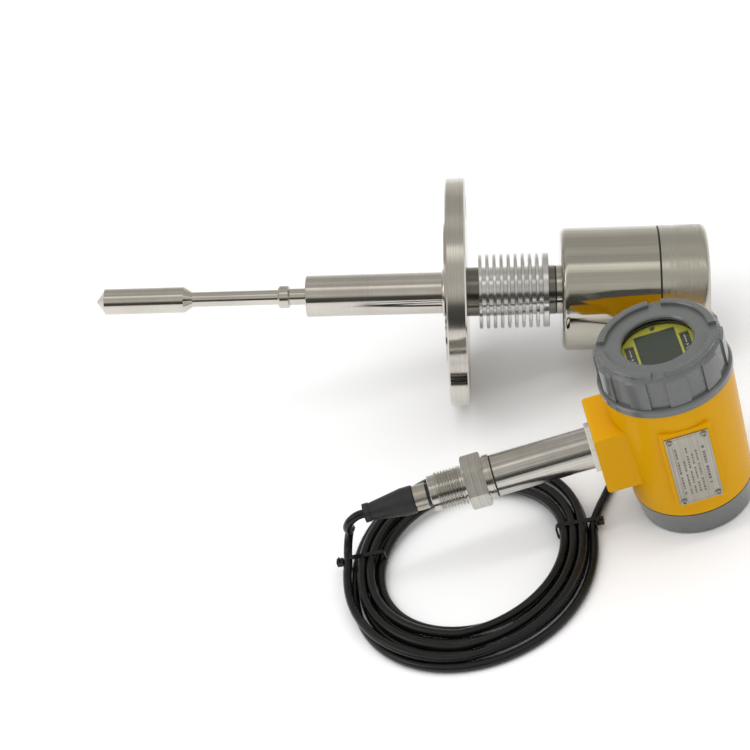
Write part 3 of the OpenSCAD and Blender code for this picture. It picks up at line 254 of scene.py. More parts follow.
def cable_tie(name, side, y):
    half_w, edge = TIE_W / 2, TIE_EDGE
    section = [(0, -half_w), (TIE_T - edge, -half_w), (TIE_T, edge - half_w),
               (TIE_T, half_w - edge), (TIE_T - edge, half_w), (0, half_w)]
    inner = math.sqrt(BUNDLE_X[0] ** 2 - abs(y) ** 2) + 0.6
    x0, x1 = sorted((side * inner, side * BUNDLE_X[1]))
    z0, z1 = BUNDLE_Z
    top = z1 - 0.5
    corner = TIE_CORNER
    path = []
    for cx, cz, start in ((x1 - corner, z0 + corner, -90), (x1 - corner, z1 - corner, 0),
                          (x0 + corner, z1 - corner, 90), (x0 + corner, z0 + corner, 180)):
        for k in range(CORNER_STEPS + 1):
            a = math.radians(start + 90 * k / CORNER_STEPS)
            path.append((cx + corner * math.cos(a), cz + corner * math.sin(a)))
    # The strap dips a little between the turns that it holds
    path = [(x, z + (STRAP_DIP * math.cos(x * TAU / LANE) if z > top else 0)) for x, z in path]
    dense = []
    for k in range(len(path)):
        (ax, az), (bx, bz) = path[k], path[(k + 1) % len(path)]
        steps = max(1, int(math.hypot(bx - ax, bz - az) / TIE_STEP))
        for s in range(steps):
            x, z = ax + (bx - ax) * s / steps, az + (bz - az) * s / steps
            if z > top:
                z = z1 - TOP_DIP + TOP_DIP * math.cos(x * TAU / LANE)
            dense.append((x, z))
    place = Matrix.Translation((COIL_AT[0] / 1000, (COIL_AT[1] + y) / 1000, 0))
    strap = swept_loop(name, dense[::-1], section[::-1], place)
    h = TIE_HEAD / 2
    hx = side * (BUNDLE_X[1] + TIE_T + h - TIE_HEAD_IN)
    head = block(hx - h, hx + h, -h, h, *TIE_HEAD_Z, 0.5)
    tail_x, tail_half = hx + side * TAIL_OUT, TAIL_T / 2
    tail = block(tail_x - tail_half, tail_x + tail_half, 0.2 - half_w, half_w - 0.2, *TAIL_Z, 0.25)
    verts, faces = gathered([head, tail])
    knob = piece(name + "_head", verts, faces, place)
    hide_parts(name)
    return [strap, knob]


ties = cable_tie("cable_tie_left", -1, 14) + cable_tie("cable_tie_right", 1, 7)

# Threaded fitting: collar, bevelled hexagon, helical thread and plain end, bored through
FITTING_S0, HEX_S0, HEX_S1, THREAD_S1, FITTING_S1 = 126.5, 131.7, 145.3, 164.3, 169.7
COLLAR_R, HEX_AF, HEX_BEVEL, THREAD_R, END_R, SOCKET_R = 15.0, 32.0, 1.4, 13.2, 12.2, 8.25
SPIGOT_R, SPIGOT_L, WIRE_R, SOCKET_L = 11.35, 8, 6.2, 12
COLLAR_EDGE, NECK_IN, NECK_L = 0.2, 0.7, 1.2
BEVEL_STEPS, BEVEL_RISE = 4, 0.21
# A groove runs out the thread behind the hexagon
GROOVE_IN, GROOVE_L, GROOVE_END = 1.2, 1.6, 1.8
THREAD_PITCH, THREAD_DEPTH, ROWS_A_PITCH = 2.12, 1.15, 12
RUN_IN, RUN_OUT, CREST = 1.6, 1.2, 0.08
FITTING_AROUND = 144
# The hexagon stands a little turned against the upright, as screwed up
HEX_TURN = math.radians(7)


def hexagon_row(limit):
    half = TAU / 12
    return lambda a: min(limit, HEX_AF / 2 / math.cos((a - HEX_TURN + half) % (TAU / 6) - half))


def thread_row(z):
    run = soft_step((z - HEX_S1 - GROOVE_END) / RUN_IN) * soft_step((THREAD_S1 - z) / RUN_OUT)

    def radius(a):
        turn = abs(((z - HEX_S1) / THREAD_PITCH - a / TAU) % 1 - 0.5) * 2
        return THREAD_R - THREAD_DEPTH * run * soft_step((turn - CREST) / (1 - 2 * CREST))
    return radius


def fitting():
    corner = HEX_AF / math.sqrt(3)
    rows = [(FITTING_S0 - SPIGOT_L, SPIGOT_R), (FITTING_S0, SPIGOT_R),
            (FITTING_S0, COLLAR_R - COLLAR_EDGE), (FITTING_S0 + COLLAR_EDGE, COLLAR_R),
            (HEX_S0 - NECK_L, COLLAR_R), (HEX_S0 - NECK_L, COLLAR_R - NECK_IN),
            (HEX_S0, COLLAR_R - NECK_IN)]
    n = BEVEL_STEPS
    for k in range(n + 1):
        rows.append((HEX_S0 + BEVEL_RISE * k, hexagon_row(corner - HEX_BEVEL * (1 - k / n))))
    for k in range(n + 1):
        rows.append((HEX_S1 - BEVEL_RISE * (n - k), hexagon_row(corner - HEX_BEVEL * k / n)))
    z = HEX_S1 + GROOVE_END
    rows += [(HEX_S1, THREAD_R - GROOVE_IN), (HEX_S1 + GROOVE_L, THREAD_R - GROOVE_IN),
             (z, THREAD_R - 0.1)]
    while z < THREAD_S1 - 0.2:
        z += THREAD_PITCH / ROWS_A_PITCH
        rows.append((z, thread_row(z)))
    rows += [(THREAD_S1, THREAD_R - 0.3), (THREAD_S1 + 0.3, END_R), (FITTING_S1 - 0.5, END_R),
             (FITTING_S1, END_R - 0.5), (FITTING_S1, SOCKET_R), (FITTING_S1 - SOCKET_L, SOCKET_R),
             (FITTING_S1 - SOCKET_L, WIRE_R), (FITTING_S0 - SPIGOT_L, WIRE_R)]
    obj = rings("fitting_with_thread", rows, FITTING_AROUND, STUB_FRAME, sharp=28)
    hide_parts("threaded_fitting")
    return obj


fitting_piece = fitting()

# Weld bead where the sheath meets the flange: a ring of overlapping ripples
FLANGE_FACE_S, SHEATH_R, BEAD_R, RIPPLES = -16.0, 15.1, 1.7, 38
BEAD_LOW, RIPPLE_RISE, UNEVEN = 0.86, 0.2, 0.05
BEAD_AROUND, BEAD_ACROSS = 304, 12


def weld_bead():
    verts = []
    for i in range(BEAD_AROUND):
        a = TAU * i / BEAD_AROUND
        beat = (a * RIPPLES / TAU + 0.3 * math.sin(5 * a)) % 1
        rise = RIPPLE_RISE * math.sin(math.pi * beat)
        r = BEAD_R * (BEAD_LOW + rise + UNEVEN * math.sin(7 * a + 1))
        for k in range(BEAD_ACROSS):
            b = TAU * k / BEAD_ACROSS
            ring_r = SHEATH_R + r * math.cos(b)
            verts.append((ring_r * math.cos(a), ring_r * math.sin(a),
                          FLANGE_FACE_S + r * math.sin(b)))
    faces = grid_faces(BEAD_AROUND, BEAD_ACROSS)
    obj = piece("weld_bead", verts, faces, SENSOR_FRAME, sharp=50)
    return obj


bead = weld_bead()

# Nameplate: a printed border, two rules and rows of plain dashes, on the plate's face
PLATE_W, PLATE_H, PLATE_T = 28.6, 57.0, 0.8
PAD_REACH = 44.0
PRINT_IN, PRINT_LINE, RULES_X, RULES_IN = 1.2, 0.22, (6.0, -10.6), 5.6
# Each row: where it stands, how tall it is, where it starts and ends
DASH_ROWS = (
    (7.6, 1.9, -16, 17), (3.2, 1.1, -21, 15), (0.2, 1.1, -21, 11),
    (-2.8, 1.1, -21, 19), (-5.8, 1.1, -21, 6), (-9.6, 1.3, -20, 20),
)
DASH, DASH_MORE, DASH_GAP, WORD_GAP = 1.1, 0.5, 0.7, 2.6
plate_low, plate_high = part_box("nameplate")
turned_by = Matrix.Rotation(STUB_TURN, 4, "Z")
PLATE_FRAME = Matrix.Translation(TRANSMITTER_AT) @ turned_by @ frame_of(
    (0, -PAD_REACH / 1000, (plate_low.z + plate_high.z) / 2), (0, -1, 0), (1, 0, 0))


def nameplate_print():
    z0, z1 = PLATE_T - 0.02, PLATE_T + 0.03
    w, h = PLATE_W / 2 - PRINT_IN, PLATE_H / 2 - PRINT_IN
    line = PRINT_LINE
    bars = [(-w, w, h - line, h), (-w, w, -h, line - h),
            (-w, line - w, -h, h), (w - line, w, -h, h)]
    bars += [(x, x + line, RULES_IN - h, h - RULES_IN) for x in RULES_X]
    # The dashes are of three lengths in turn, and every fifth has a wider gap after it
    for row, (x, tall, start, end) in enumerate(DASH_ROWS):
        y, k = start, row
        while y < end:
            length = DASH + DASH_MORE * ((k * 7) % 3)
            bars.append((x, x + tall, y, y + length))
            y += length + (DASH_GAP if k % 5 else WORD_GAP)
            k += 1
    verts, faces = gathered([block(x0, x1, y0, y1, z0, z1, 0) for x0, x1, y0, y1 in bars])
    obj = piece("nameplate_print", verts, faces, PLATE_FRAME, smooth=False)
    return obj


SCREW_R, SCREW_H, SCREW_IN = 2.2, 1.3, 2.9
SCREW_SIDE, SCREW_DOME, SHANK_R = 0.45, 2.4, 1.1
SLOT_W, SLOT_L, SLOT_DEEP = 0.7, 2.6, 0.6


def nameplate_screws():
    """Domed heads with a cross recess, at the plate's corners; their shanks stay in the pad."""
    around, steps = 64, 14
    parts = []
    for sx, sy in ((-1, -1), (-1, 1), (1, -1), (1, 1)):
        x, y = sx * (PLATE_W / 2 - SCREW_IN), sy * (PLATE_H / 2 - SCREW_IN)
        turn = 0.5 + 0.9 * sx + 0.35 * sy
        verts = [(x, y, PLATE_T + SCREW_H - SLOT_DEEP)]
        for k in range(1, steps + 1):
            r = SCREW_R * k / steps
            dome = math.sqrt(max(0, 1 - (k / steps) ** SCREW_DOME))
            z = PLATE_T + SCREW_SIDE + (SCREW_H - SCREW_SIDE) * dome
            for i in range(around):
                a = TAU * i / around
                u, v = abs(r * math.cos(a + turn)), abs(r * math.sin(a + turn))
                in_slot = min(u, v) < SLOT_W / 2 and max(u, v) < SLOT_L / 2
                verts.append((x + r * math.cos(a), y + r * math.sin(a),
                              z - (SLOT_DEEP if in_slot else 0)))
        for r, z in ((SCREW_R, PLATE_T + 0.02), (SHANK_R, -PLATE_T)):
            for i in range(around):
                a = TAU * i / around
                verts.append((x + r * math.cos(a), y + r * math.sin(a), z))
        faces = [(0, 1 + i, 1 + (i + 1) % around) for i in range(around)]
        for k in range(steps + 1):
            p, q = 1 + k * around, 1 + (k + 1) * around
            for i in range(around):
                j = (i + 1) % around
                faces.append((p + i, q + i, q + j, p + j))
        last = 1 + (steps + 1) * around
        faces.append(tuple(last + i for i in range(around)))
        parts.append((verts, faces))
    verts, faces = gathered(parts)
    obj = piece("nameplate_screw_heads", verts, faces, PLATE_FRAME, sharp=40)
    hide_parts("nameplate_screws")
    return obj


plate_screws = nameplate_screws()
plate_print = nameplate_print()

# Marks on the display's black side fields: plain arrows and bars beside the two keys
FACE_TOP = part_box("face_plate")[1].z * 1000
KEY_X = 18.2
MARK_DOWN, MARK_T, BAR_W = 0.98, 0.08, 0.7
BARS = ((7.2, 2.6), (4.6, 1.8), (2.0, 2.6))
ARROW = ((-1.1, -1.2), (1.1, -1.2), (0, -2.8))
DISPLAY_FRAME = Matrix.Translation(TRANSMITTER_AT) @ turned_by


def display_marks():
    z0, z1 = FACE_TOP - MARK_DOWN, FACE_TOP - MARK_DOWN + MARK_T
    parts = []
    for side in (-1, 1):
        x = side * KEY_X
        for y, long in BARS:
            parts.append(block(x - BAR_W / 2, x + BAR_W / 2, y - long / 2, y + long / 2, z0, z1, 0))
        tip = [(x + dx, y, z) for z in (z0, z1) for dx, y in ARROW]
        parts.append((tip, [(0, 2, 1), (3, 4, 5), (0, 1, 4, 3), (1, 2, 5, 4), (2, 0, 3, 5)]))
    verts, faces = gathered(parts)
    obj = piece("display_marks", verts, faces, DISPLAY_FRAME, smooth=False)
    return obj


display_print = display_marks()


# Shader groups, shared by the materials
def new_group(name, ins, outs):
    g = bpy.data.node_groups.new(name, "ShaderNodeTree")
    for label, kind, value in ins:
        s = g.interface.new_socket(label, in_out="INPUT", socket_type=kind)
        if value is not None:
            s.default_value = value
    for label, kind in outs:
        g.interface.new_socket(label, in_out="OUTPUT", socket_type=kind)
    return g, g.nodes.new("NodeGroupInput"), g.nodes.new("NodeGroupOutput")


def join(tree, a, b):
    tree.links.new(a, b)


def noise(tree, vector, scale, detail=3, rough=0.55):
    n = tree.nodes.new("ShaderNodeTexNoise")
    n.inputs["Detail"].default_value = detail
    n.inputs["Roughness"].default_value = rough
    if isinstance(scale, (int, float)):
        n.inputs["Scale"].default_value = scale
    else:
        join(tree, scale, n.inputs["Scale"])
    join(tree, vector, n.inputs["Vector"])
    return n.outputs["Fac"]


def ramp(tree, value, low, high, out_low=0.0, out_high=1.0):
    n = tree.nodes.new("ShaderNodeMapRange")
    n.interpolation_type = "SMOOTHSTEP"
    for key, v in zip(("From Min", "From Max", "To Min", "To Max"), (low, high, out_low, out_high)):
        if isinstance(v, (int, float)):
            n.inputs[key].default_value = v
        else:
            join(tree, v, n.inputs[key])
    join(tree, value, n.inputs["Value"])
    return n.outputs["Result"]


def mix(tree, fac, a, b):
    n = tree.nodes.new("ShaderNodeMix")
    n.data_type = "RGBA"
    join(tree, fac, n.inputs[0])
    for socket, v in ((n.inputs[6], a), (n.inputs[7], b)):
        if isinstance(v, tuple):
            socket.default_value = (*v, 1)
        else:
            join(tree, v, socket)
    return n.outputs[2]


def calc(tree, op, a, b=None):
    n = tree.nodes.new("ShaderNodeMath")
    n.operation = op
    for i, v in enumerate((a, b)):
        if v is None:
            continue
        if isinstance(v, (int, float)):
            n.inputs[i].default_value = v
        else:
            join(tree, v, n.inputs[i])
    return n.outputs[0]


def stretched(tree, vector, factors):
    n = tree.nodes.new("ShaderNodeVectorMath")
    n.operation = "MULTIPLY"
    join(tree, vector, n.inputs[0])
    n.inputs[1].default_value = factors
    return n.outputs[0]


OUTS = [("Color", "NodeSocketColor"), ("Roughness", "NodeSocketFloat"),
        ("Height", "NodeSocketFloat")]


def metal_group(name, clouds, stretch, fine_share, band, smooth, rough, broad=None):
    """Clouds and fine marks that mix two tones and two degrees of gloss, and make the relief."""
    tree, gi, go = new_group(name, [
        ("Vector", "NodeSocketVector", None),
        ("Light Tone", "NodeSocketColor", (0.7, 0.69, 0.67, 1)),
        ("Dark Tone", "NodeSocketColor", (0.5, 0.49, 0.47, 1)),
        ("Smooth", "NodeSocketFloat", smooth), ("Rough", "NodeSocketFloat", rough)], OUTS)
    at, light, dark, least, most = gi.outputs[:5]
    cloud = noise(tree, at, clouds, 4)
    fine = noise(tree, stretched(tree, at, stretch), 1, 3, 0.6)
    both = calc(tree, "ADD", calc(tree, "MULTIPLY", cloud, 1 - fine_share),
                calc(tree, "MULTIPLY", fine, fine_share))
    marks = ramp(tree, both, *band)
    join(tree, mix(tree, marks, dark, light), go.inputs["Color"])
    join(tree, ramp(tree, marks, 0, 1, most, least), go.inputs["Roughness"])
    relief = fine
    if broad:
        faint = calc(tree, "MULTIPLY", fine, 0.25)
        relief = calc(tree, "ADD", faint, noise(tree, stretched(tree, at, broad), 1, 2, 0.5))
    join(tree, relief, go.inputs["Height"])
    return tree


# Turned metal has fine marks that run across the local z axis. Brushed metal has fine streaks
# along it, and broader ones that show in the relief alone.
turned = metal_group("turned_metal", 38, (6, 6, 2600), 0.55, (0.36, 0.64), 0.15, 0.3)
brushed = metal_group("brushed_metal", 30, (1500, 1500, 14), 0.65, (0.34, 0.66), 0.22, 0.42,
                      broad=(420, 420, 3))

# Cast and painted surface: soft waves of the casting, fine orange peel, a few specks, and ripples
# where thick paint has drawn round the rim, between two radii and above a height
painted, gi, go = new_group("painted_casting", [
    ("Vector", "NodeSocketVector", None), ("Tone", "NodeSocketColor", (0.8, 0.5, 0.05, 1)),
    ("Worn Tone", "NodeSocketColor", (0.6, 0.4, 0.05, 1)), ("Peel", "NodeSocketFloat", 700.0),
    ("Smooth", "NodeSocketFloat", 0.25), ("Rough", "NodeSocketFloat", 0.4),
    ("Ripple", "NodeSocketFloat", 0.0), ("Ripple Inner", "NodeSocketFloat", 0.0345),
    ("Ripple Outer", "NodeSocketFloat", 0.0414), ("Ripple Above", "NodeSocketFloat", 0.12)], OUTS)
at = gi.outputs["Vector"]
wave = noise(painted, at, 26, 4)
peel = noise(painted, at, gi.outputs["Peel"], 2, 0.5)
speck = ramp(painted, noise(painted, at, 900, 2), 0.66, 0.72)
worn = calc(painted, "ADD", ramp(painted, wave, 0.45, 0.8, 0, 0.55),
            calc(painted, "MULTIPLY", speck, 0.35))
join(painted, mix(painted, worn, gi.outputs["Tone"], gi.outputs["Worn Tone"]), go.inputs["Color"])
gloss = ramp(painted, wave, 0.3, 0.7, gi.outputs["Smooth"], gi.outputs["Rough"])
join(painted, gloss, go.inputs["Roughness"])
reach = painted.nodes.new("ShaderNodeVectorMath")
reach.operation = "LENGTH"
join(painted, stretched(painted, at, (1, 1, 0)), reach.inputs[0])
height = painted.nodes.new("ShaderNodeSeparateXYZ")
join(painted, at, height.inputs[0])
outside = calc(painted, "GREATER_THAN", reach.outputs["Value"], gi.outputs["Ripple Inner"])
inside = calc(painted, "LESS_THAN", reach.outputs["Value"], gi.outputs["Ripple Outer"])
above = calc(painted, "GREATER_THAN", height.outputs["Z"], gi.outputs["Ripple Above"])
on_rim = calc(painted, "MULTIPLY", calc(painted, "MULTIPLY", outside, inside), above)
ripple = ramp(painted, noise(painted, at, 300, 3, 0.6), 0.35, 0.68)
ripple = calc(painted, "MULTIPLY", calc(painted, "MULTIPLY", ripple, gi.outputs["Ripple"]), on_rim)
plain = calc(painted, "ADD", calc(painted, "MULTIPLY", wave, 0.5), peel)
join(painted, calc(painted, "ADD", plain, ripple), go.inputs["Height"])

# Mask of what lies outside two heights along the local z axis
ends, gi, go = new_group("outside_band", [
    ("Vector", "NodeSocketVector", None), ("From", "NodeSocketFloat", 0.0),
    ("To", "NodeSocketFloat", 0.1)], [("Mask", "NodeSocketFloat")])
apart = ends.nodes.new("ShaderNodeSeparateXYZ")
join(ends, gi.outputs["Vector"], apart.inputs[0])
before = calc(ends, "LESS_THAN", apart.outputs["Z"], gi.outputs["From"])
after = calc(ends, "GREATER_THAN", apart.outputs["Z"], gi.outputs["To"])
join(ends, calc(ends, "MAXIMUM", before, after), go.inputs["Mask"])

# Moulded rubber and plastic: dull clouds, dust specks and a fine grain
moulded, gi, go = new_group("moulded_surface", [
    ("Vector", "NodeSocketVector", None), ("Tone", "NodeSocketColor", (0.03, 0.03, 0.03, 1)),
    ("Dusty Tone", "NodeSocketColor", (0.08, 0.08, 0.08, 1)), ("Smooth", "NodeSocketFloat", 0.4),
    ("Rough", "NodeSocketFloat", 0.6)], OUTS)
cloud = noise(moulded, gi.outputs["Vector"], 60, 4)
grain = noise(moulded, gi.outputs["Vector"], 1600, 2)
dust = calc(moulded, "ADD", ramp(moulded, cloud, 0.4, 0.75, 0, 0.6),
            ramp(moulded, grain, 0.6, 0.75, 0, 0.4))
join(moulded, mix(moulded, dust, gi.outputs["Tone"], gi.outputs["Dusty Tone"]), go.inputs["Color"])
gloss = ramp(moulded, cloud, 0.3, 0.7, gi.outputs["Smooth"], gi.outputs["Rough"])
join(moulded, gloss, go.inputs["Roughness"])
join(moulded, grain, go.inputs["Height"])


def local_vector(tree, origin, axis):
    """Object coordinates turned so that z runs along the axis."""
    tex = tree.nodes.new("ShaderNodeTexCoord")
    shift = tree.nodes.new("ShaderNodeVectorMath")
    shift.operation = "SUBTRACT"
    join(tree, tex.outputs["Object"], shift.inputs[0])
    shift.inputs[1].default_value = origin
    z = Vector(axis).normalized()
    x = z.orthogonal().normalized()
    y = z.cross(x)
    parts = []
    for v in (x, y, z):
        dot = tree.nodes.new("ShaderNodeVectorMath")
        dot.operation = "DOT_PRODUCT"
        join(tree, shift.outputs[0], dot.inputs[0])
        dot.inputs[1].default_value = v
        parts.append(dot.outputs["Value"])
    out = tree.nodes.new("ShaderNodeCombineXYZ")
    for i, p in enumerate(parts):
        join(tree, p, out.inputs[i])
    return out.outputs[0]


mats = {}


def material(name, group, values, origin=(0, 0, 0), axis=(0, 0, 1), bump=0.1, depth=0.0002,
             **fixed):
    m = bpy.data.materials.new(name)
    m.use_nodes = True
    t = m.node_tree
    shader = t.nodes["Principled BSDF"]
    g = t.nodes.new("ShaderNodeGroup")
    g.node_tree = group
    join(t, local_vector(t, origin, axis), g.inputs["Vector"])
    for key, v in values.items():
        g.inputs[key].default_value = (*v, 1) if isinstance(v, tuple) else v
    join(t, g.outputs["Color"], shader.inputs["Base Color"])
    join(t, g.outputs["Roughness"], shader.inputs["Roughness"])
    b = t.nodes.new("ShaderNodeBump")
    b.inputs["Strength"].default_value = bump
    b.inputs["Distance"].default_value = depth
    join(t, g.outputs["Height"], b.inputs["Height"])
    join(t, b.outputs["Normal"], shader.inputs["Normal"])
    for key, v in fixed.items():
        shader.inputs[key.replace("_", " ")].default_value = v
    mats[name] = m


def darken_outside(m, origin, axis, low, high, tone):
    """Darker metal outside a band along the axis."""
    t = m.node_tree
    shader = t.nodes["Principled BSDF"]
    mask = t.nodes.new("ShaderNodeGroup")
    mask.node_tree = ends
    join(t, local_vector(t, origin, axis), mask.inputs["Vector"])
    mask.inputs["From"].default_value, mask.inputs["To"].default_value = low, high
    colour = shader.inputs["Base Color"].links[0].from_socket
    dull = mix(t, colour, tuple(0.5 * c for c in tone), tone)
    join(t, mix(t, mask.outputs["Mask"], colour, dull), shader.inputs["Base Color"])


def metal_tones(light, dark, smooth, rough):
    return {"Light Tone": light, "Dark Tone": dark, "Smooth": smooth, "Rough": rough}


def dull_tones(clean, dusty, smooth, rough):
    return {"Tone": clean, "Dusty Tone": dusty, "Smooth": smooth, "Rough": rough}


# Metals: the marks follow the axis that the piece was turned or drawn along
ON_SENSOR = {"origin": SENSOR_AT, "axis": SENSOR_AXIS, "Metallic": 1.0}
ON_STUB = {"origin": TRANSMITTER_AT, "axis": STUB_AXIS, "Metallic": 1.0}
FINE_RELIEF = 0.00003
material("turned_steel", turned, metal_tones((0.66, 0.63, 0.58), (0.56, 0.53, 0.48), 0.09, 0.17),
         bump=0.10, depth=FINE_RELIEF, **ON_SENSOR)
material("polished_head", brushed, metal_tones((0.56, 0.54, 0.475), (0.50, 0.48, 0.42), 0.05, 0.11),
         bump=0.12, **ON_SENSOR)
material("satin_cap", turned, metal_tones((0.57, 0.55, 0.485), (0.48, 0.46, 0.40), 0.15, 0.36),
         bump=0.06, depth=FINE_RELIEF, **ON_SENSOR)
material("bright_fins", turned, metal_tones((0.80, 0.80, 0.78), (0.64, 0.635, 0.62), 0.13, 0.24),
         bump=0.08, depth=FINE_RELIEF, **ON_SENSOR)
FINS_FROM, FINS_TO = 0.0081, 0.0585
darken_outside(mats["bright_fins"], SENSOR_AT, SENSOR_AXIS, FINS_FROM, FINS_TO, (0.24, 0.23, 0.20))
material("brushed_tube", brushed, metal_tones((0.66, 0.64, 0.60), (0.46, 0.44, 0.40), 0.13, 0.24),
         TRANSMITTER_AT + Vector((0, 0, STUB_Z)), STUB_AXIS, bump=0.5, Metallic=1.0)
material("turned_fitting", turned, metal_tones((0.62, 0.60, 0.555), (0.46, 0.445, 0.41), 0.14, 0.26),
         bump=0.08, depth=FINE_RELIEF, **ON_STUB)
material("nickel_ring", turned, metal_tones((0.54, 0.51, 0.44), (0.48, 0.45, 0.385), 0.26, 0.34),
         bump=0.04, depth=FINE_RELIEF, **ON_STUB)
material("copper_wire", turned, metal_tones((0.75, 0.36, 0.16), (0.45, 0.18, 0.07), 0.25, 0.4),
         bump=0.3, **ON_SENSOR)
material("brass", turned, metal_tones((0.78, 0.58, 0.26), (0.55, 0.38, 0.15), 0.2, 0.35),
         Metallic=1.0)
material("plate_metal", brushed, metal_tones((0.425, 0.40, 0.345), (0.34, 0.32, 0.275), 0.28, 0.42),
         TRANSMITTER_AT, bump=0.08, depth=FINE_RELIEF, Metallic=1.0)

# Painted castings
material("orange_enamel", painted,
         {"Tone": (0.71, 0.36, 0.001), "Worn Tone": (0.65, 0.325, 0.001), "Peel": 420.0,
          "Smooth": 0.26, "Rough": 0.36},
         bump=0.08, Coat_Weight=0.05, Coat_Roughness=0.08, Specular_IOR_Level=0.08)
material("grey_enamel", painted,
         {"Tone": (0.120, 0.127, 0.124), "Worn Tone": (0.092, 0.098, 0.095), "Peel": 520.0,
          "Smooth": 0.22, "Rough": 0.36, "Ripple": 14.0},
         TRANSMITTER_AT, bump=0.22, depth=0.0003, Coat_Weight=0.6, Coat_Roughness=0.1)

# Rubber, plastic, film and ink
material("black_rubber", moulded,
         dull_tones((0.012, 0.012, 0.012), (0.03, 0.03, 0.03), 0.42, 0.6), bump=0.12)
material("boot_rubber", moulded,
         dull_tones((0.013, 0.014, 0.0135), (0.028, 0.030, 0.029), 0.45, 0.58), bump=0.12)
material("cable_jacket", moulded,
         dull_tones((0.004, 0.004, 0.004), (0.010, 0.010, 0.010), 0.24, 0.36),
         bump=0.08, Specular_IOR_Level=0.38)
material("black_plastic", moulded,
         dull_tones((0.010, 0.010, 0.010), (0.022, 0.022, 0.022), 0.3, 0.45), bump=0.08)
material("grey_plastic", moulded,
         dull_tones((0.22, 0.22, 0.22), (0.30, 0.30, 0.30), 0.35, 0.5), bump=0.08)
material("grey_ink", moulded,
         dull_tones((0.10, 0.10, 0.10), (0.18, 0.18, 0.17), 0.4, 0.5), bump=0.05)
material("white_ink", moulded,
         dull_tones((0.62, 0.63, 0.58), (0.70, 0.70, 0.66), 0.4, 0.5), bump=0.05)
material("lime_film", moulded,
         dull_tones((0.52, 0.49, 0.012), (0.56, 0.53, 0.03), 0.35, 0.48), bump=0.05)
material("display_panel", moulded,
         dull_tones((0.020, 0.033, 0.020), (0.030, 0.046, 0.030), 0.16, 0.24),
         bump=0.02, Specular_IOR_Level=0.1)
material("green_board", moulded,
         dull_tones((0.01, 0.10, 0.03), (0.02, 0.15, 0.06), 0.3, 0.5), bump=0.1)

glass = bpy.data.materials.new("window_glass")
glass.use_nodes = True
gt = glass.node_tree
gs = gt.nodes["Principled BSDF"]
gs.inputs["Metallic"].default_value = 0.0
gs.inputs["Transmission Weight"].default_value = 1.0
gs.inputs["IOR"].default_value = 1.45
tex = gt.nodes.new("ShaderNodeTexCoord")
haze = noise(gt, tex.outputs["Object"], 45, 4)
join(gt, ramp(gt, haze, 0.35, 0.75, 0.02, 0.07), gs.inputs["Roughness"])
join(gt, mix(gt, haze, (0.95, 0.97, 0.96), (0.90, 0.94, 0.93)), gs.inputs["Base Color"])
through = gt.nodes.new("ShaderNodeLightPath")
kept_back = calc(gt, "MULTIPLY", through.outputs["Is Shadow Ray"], 0.85)
join(gt, calc(gt, "SUBTRACT", 1.0, kept_back), gs.inputs["Alpha"])
mats["window_glass"] = glass

USES = {
    "turned_steel": ["sensing_rod", "rod_collar", "torsion_rod", "sheath_tube", "process_flange",
                     "gland_body", "gland_nut", "gland_locknut", "armature", bead],
    "bright_fins": ["cooling_radiator"],
    "polished_head": ["head_housing"], "satin_cap": ["head_cap"],
    "brushed_tube": ["neck_tube"], "turned_fitting": [fitting_piece, "neck_locknut", "blanking_plug"],
    "nickel_ring": ["coupling_ring"],
    "orange_enamel": ["transmitter_housing"], "grey_enamel": ["front_cover", "rear_cover"],
    "black_rubber": ["neck_seal", "head_seal", "gland_seal",
                     "glass_seal", "front_seal", "rear_seal", "tube_seal"],
    "boot_rubber": ["cable_boot"], "cable_jacket": [cable, *ties],
    "black_plastic": ["display_body", "connector_socket", "plug_body", "terminal_block"],
    "grey_ink": [plate_print],
    "grey_plastic": ["key_left", "key_right"], "white_ink": [display_print],
    "lime_film": ["face_plate"], "display_panel": ["lcd_panel"],
    "green_board": ["amplifier_board", "display_board", "main_board"],
    "copper_wire": ["drive_coil", "pickup_coil"], "brass": ["amplifier_posts", "board_posts"],
    "plate_metal": ["nameplate", plate_screws, "face_plate_screws", "glass_retainer", "coil_bracket"],
    "window_glass": ["cover_glass"],
}


def dress(obj, mat):
    obj.data.materials.clear()
    obj.data.materials.append(mat)


for name, users in USES.items():
    for user in users:
        dress(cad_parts[user] if isinstance(user, str) else user, mats[name])

# Floor, background and lamps
FLOOR_HALF = 6.0
floor_mesh = bpy.data.meshes.new("floor")
corners = [(x * FLOOR_HALF, y * FLOOR_HALF, 0) for x, y in ((-1, -1), (1, -1), (1, 1), (-1, 1))]
floor_mesh.from_pydata(corners, [], [(0, 1, 2, 3)])
floor = link(bpy.data.objects.new("floor", floor_mesh))
floor_mat = bpy.data.materials.new("floor")
floor_mat.use_nodes = True
ft = floor_mat.node_tree
fs = ft.nodes["Principled BSDF"]
ftex = ft.nodes.new("ShaderNodeTexCoord")
fn = noise(ft, ftex.outputs["Object"], 3, 2)
join(ft, mix(ft, fn, (0.94, 0.94, 0.94), (0.96, 0.96, 0.96)), fs.inputs["Base Color"])
fs.inputs["Roughness"].default_value = 0.6
fs.inputs["Specular IOR Level"].default_value = 0.15
dress(floor, floor_mat)

world = bpy.data.worlds.new("studio")
bpy.context.scene.world = world
world.use_nodes = True
wt = world.node_tree
bg = wt.nodes["Background"]
bg.inputs["Strength"].default_value = 1.0
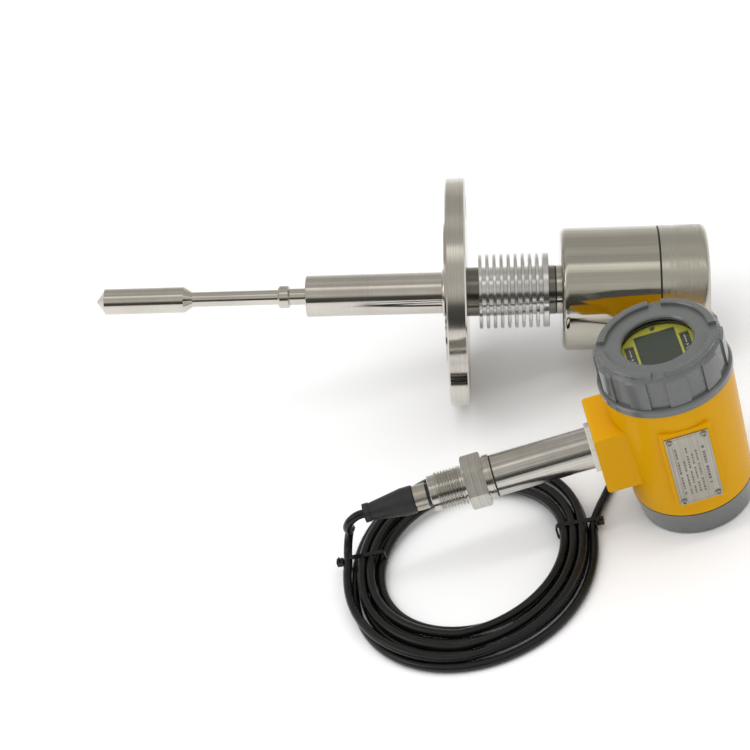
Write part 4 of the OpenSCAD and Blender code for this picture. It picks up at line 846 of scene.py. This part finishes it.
# What shiny pieces see: a grey room, by the angle from the far horizon over the top to the near
# one, as pairs of place on that way and tone
direction = wt.nodes.new("ShaderNodeTexCoord")
split = wt.nodes.new("ShaderNodeSeparateXYZ")
join(wt, direction.outputs["Generated"], split.inputs[0])
over_top = calc(wt, "DIVIDE", calc(wt, "ARCTAN2", split.outputs["Z"], split.outputs["Y"]), math.pi)
room = wt.nodes.new("ShaderNodeValToRGB")
ROOM = [
    (0.0, 0.80), (0.10, 0.62), (0.18, 0.47), (0.31, 0.47), (0.35, 0.56), (0.41, 0.56), (0.45, 0.46),
    (0.52, 0.50), (0.55, 1.10), (0.585, 1.02), (0.64, 0.55), (0.74, 0.56), (0.77, 0.64), (0.81, 0.60),
    (0.84, 0.42), (0.87, 0.09), (0.97, 0.05), (1.0, 0.12),
]
ROOM_GREEN, ROOM_BLUE = 0.975, 0.92
for _ in range(len(ROOM) - 2):
    room.color_ramp.elements.new(0.5)
for stop, (at, tone) in zip(room.color_ramp.elements, ROOM):
    stop.position = at
    stop.color = (tone, tone * ROOM_GREEN, tone * ROOM_BLUE, 1)
join(wt, over_top, room.inputs["Fac"])
path = wt.nodes.new("ShaderNodeLightPath")
# Dull surfaces see a bright ceiling and dimmer walls
WALLS, CEILING = (0.34, 0.34, 0.34), (1.30, 1.30, 1.30)
overhead = ramp(wt, split.outputs["Z"], 0, 1, 0, 1)
ceiling = mix(wt, overhead, WALLS, CEILING)
lit = mix(wt, path.outputs["Is Glossy Ray"], ceiling, room.outputs["Color"])
join(wt, mix(wt, path.outputs["Is Camera Ray"], lit, (1.0, 1.0, 1.0)), bg.inputs["Color"])


def lamp(name, at, to, size, power, tall=None):
    data = bpy.data.lights.new(name, "AREA")
    data.shape = "RECTANGLE"
    data.size, data.size_y = size, tall or size
    data.energy = power
    obj = link(bpy.data.objects.new(name, data))
    obj.location = at
    obj.rotation_euler = (Vector(to) - Vector(at)).to_track_quat("-Z", "Y").to_euler()
    return obj


# Metal shows the room's own soft band in the strip's place, as the photograph's polished head does
strip = lamp("strip", (0.1, -0.22, 1.5), (0.05, 0.0, 0.05), 2.4, 4.4, tall=0.17)
strip.visible_glossy = False
lamp("soft_left", (-1.5, -0.4, 1.3), (0, 0, 0.05), 0.9, 3)

bpy.context.scene.view_settings.view_transform = "Standard"
bpy.context.view_layer.update()
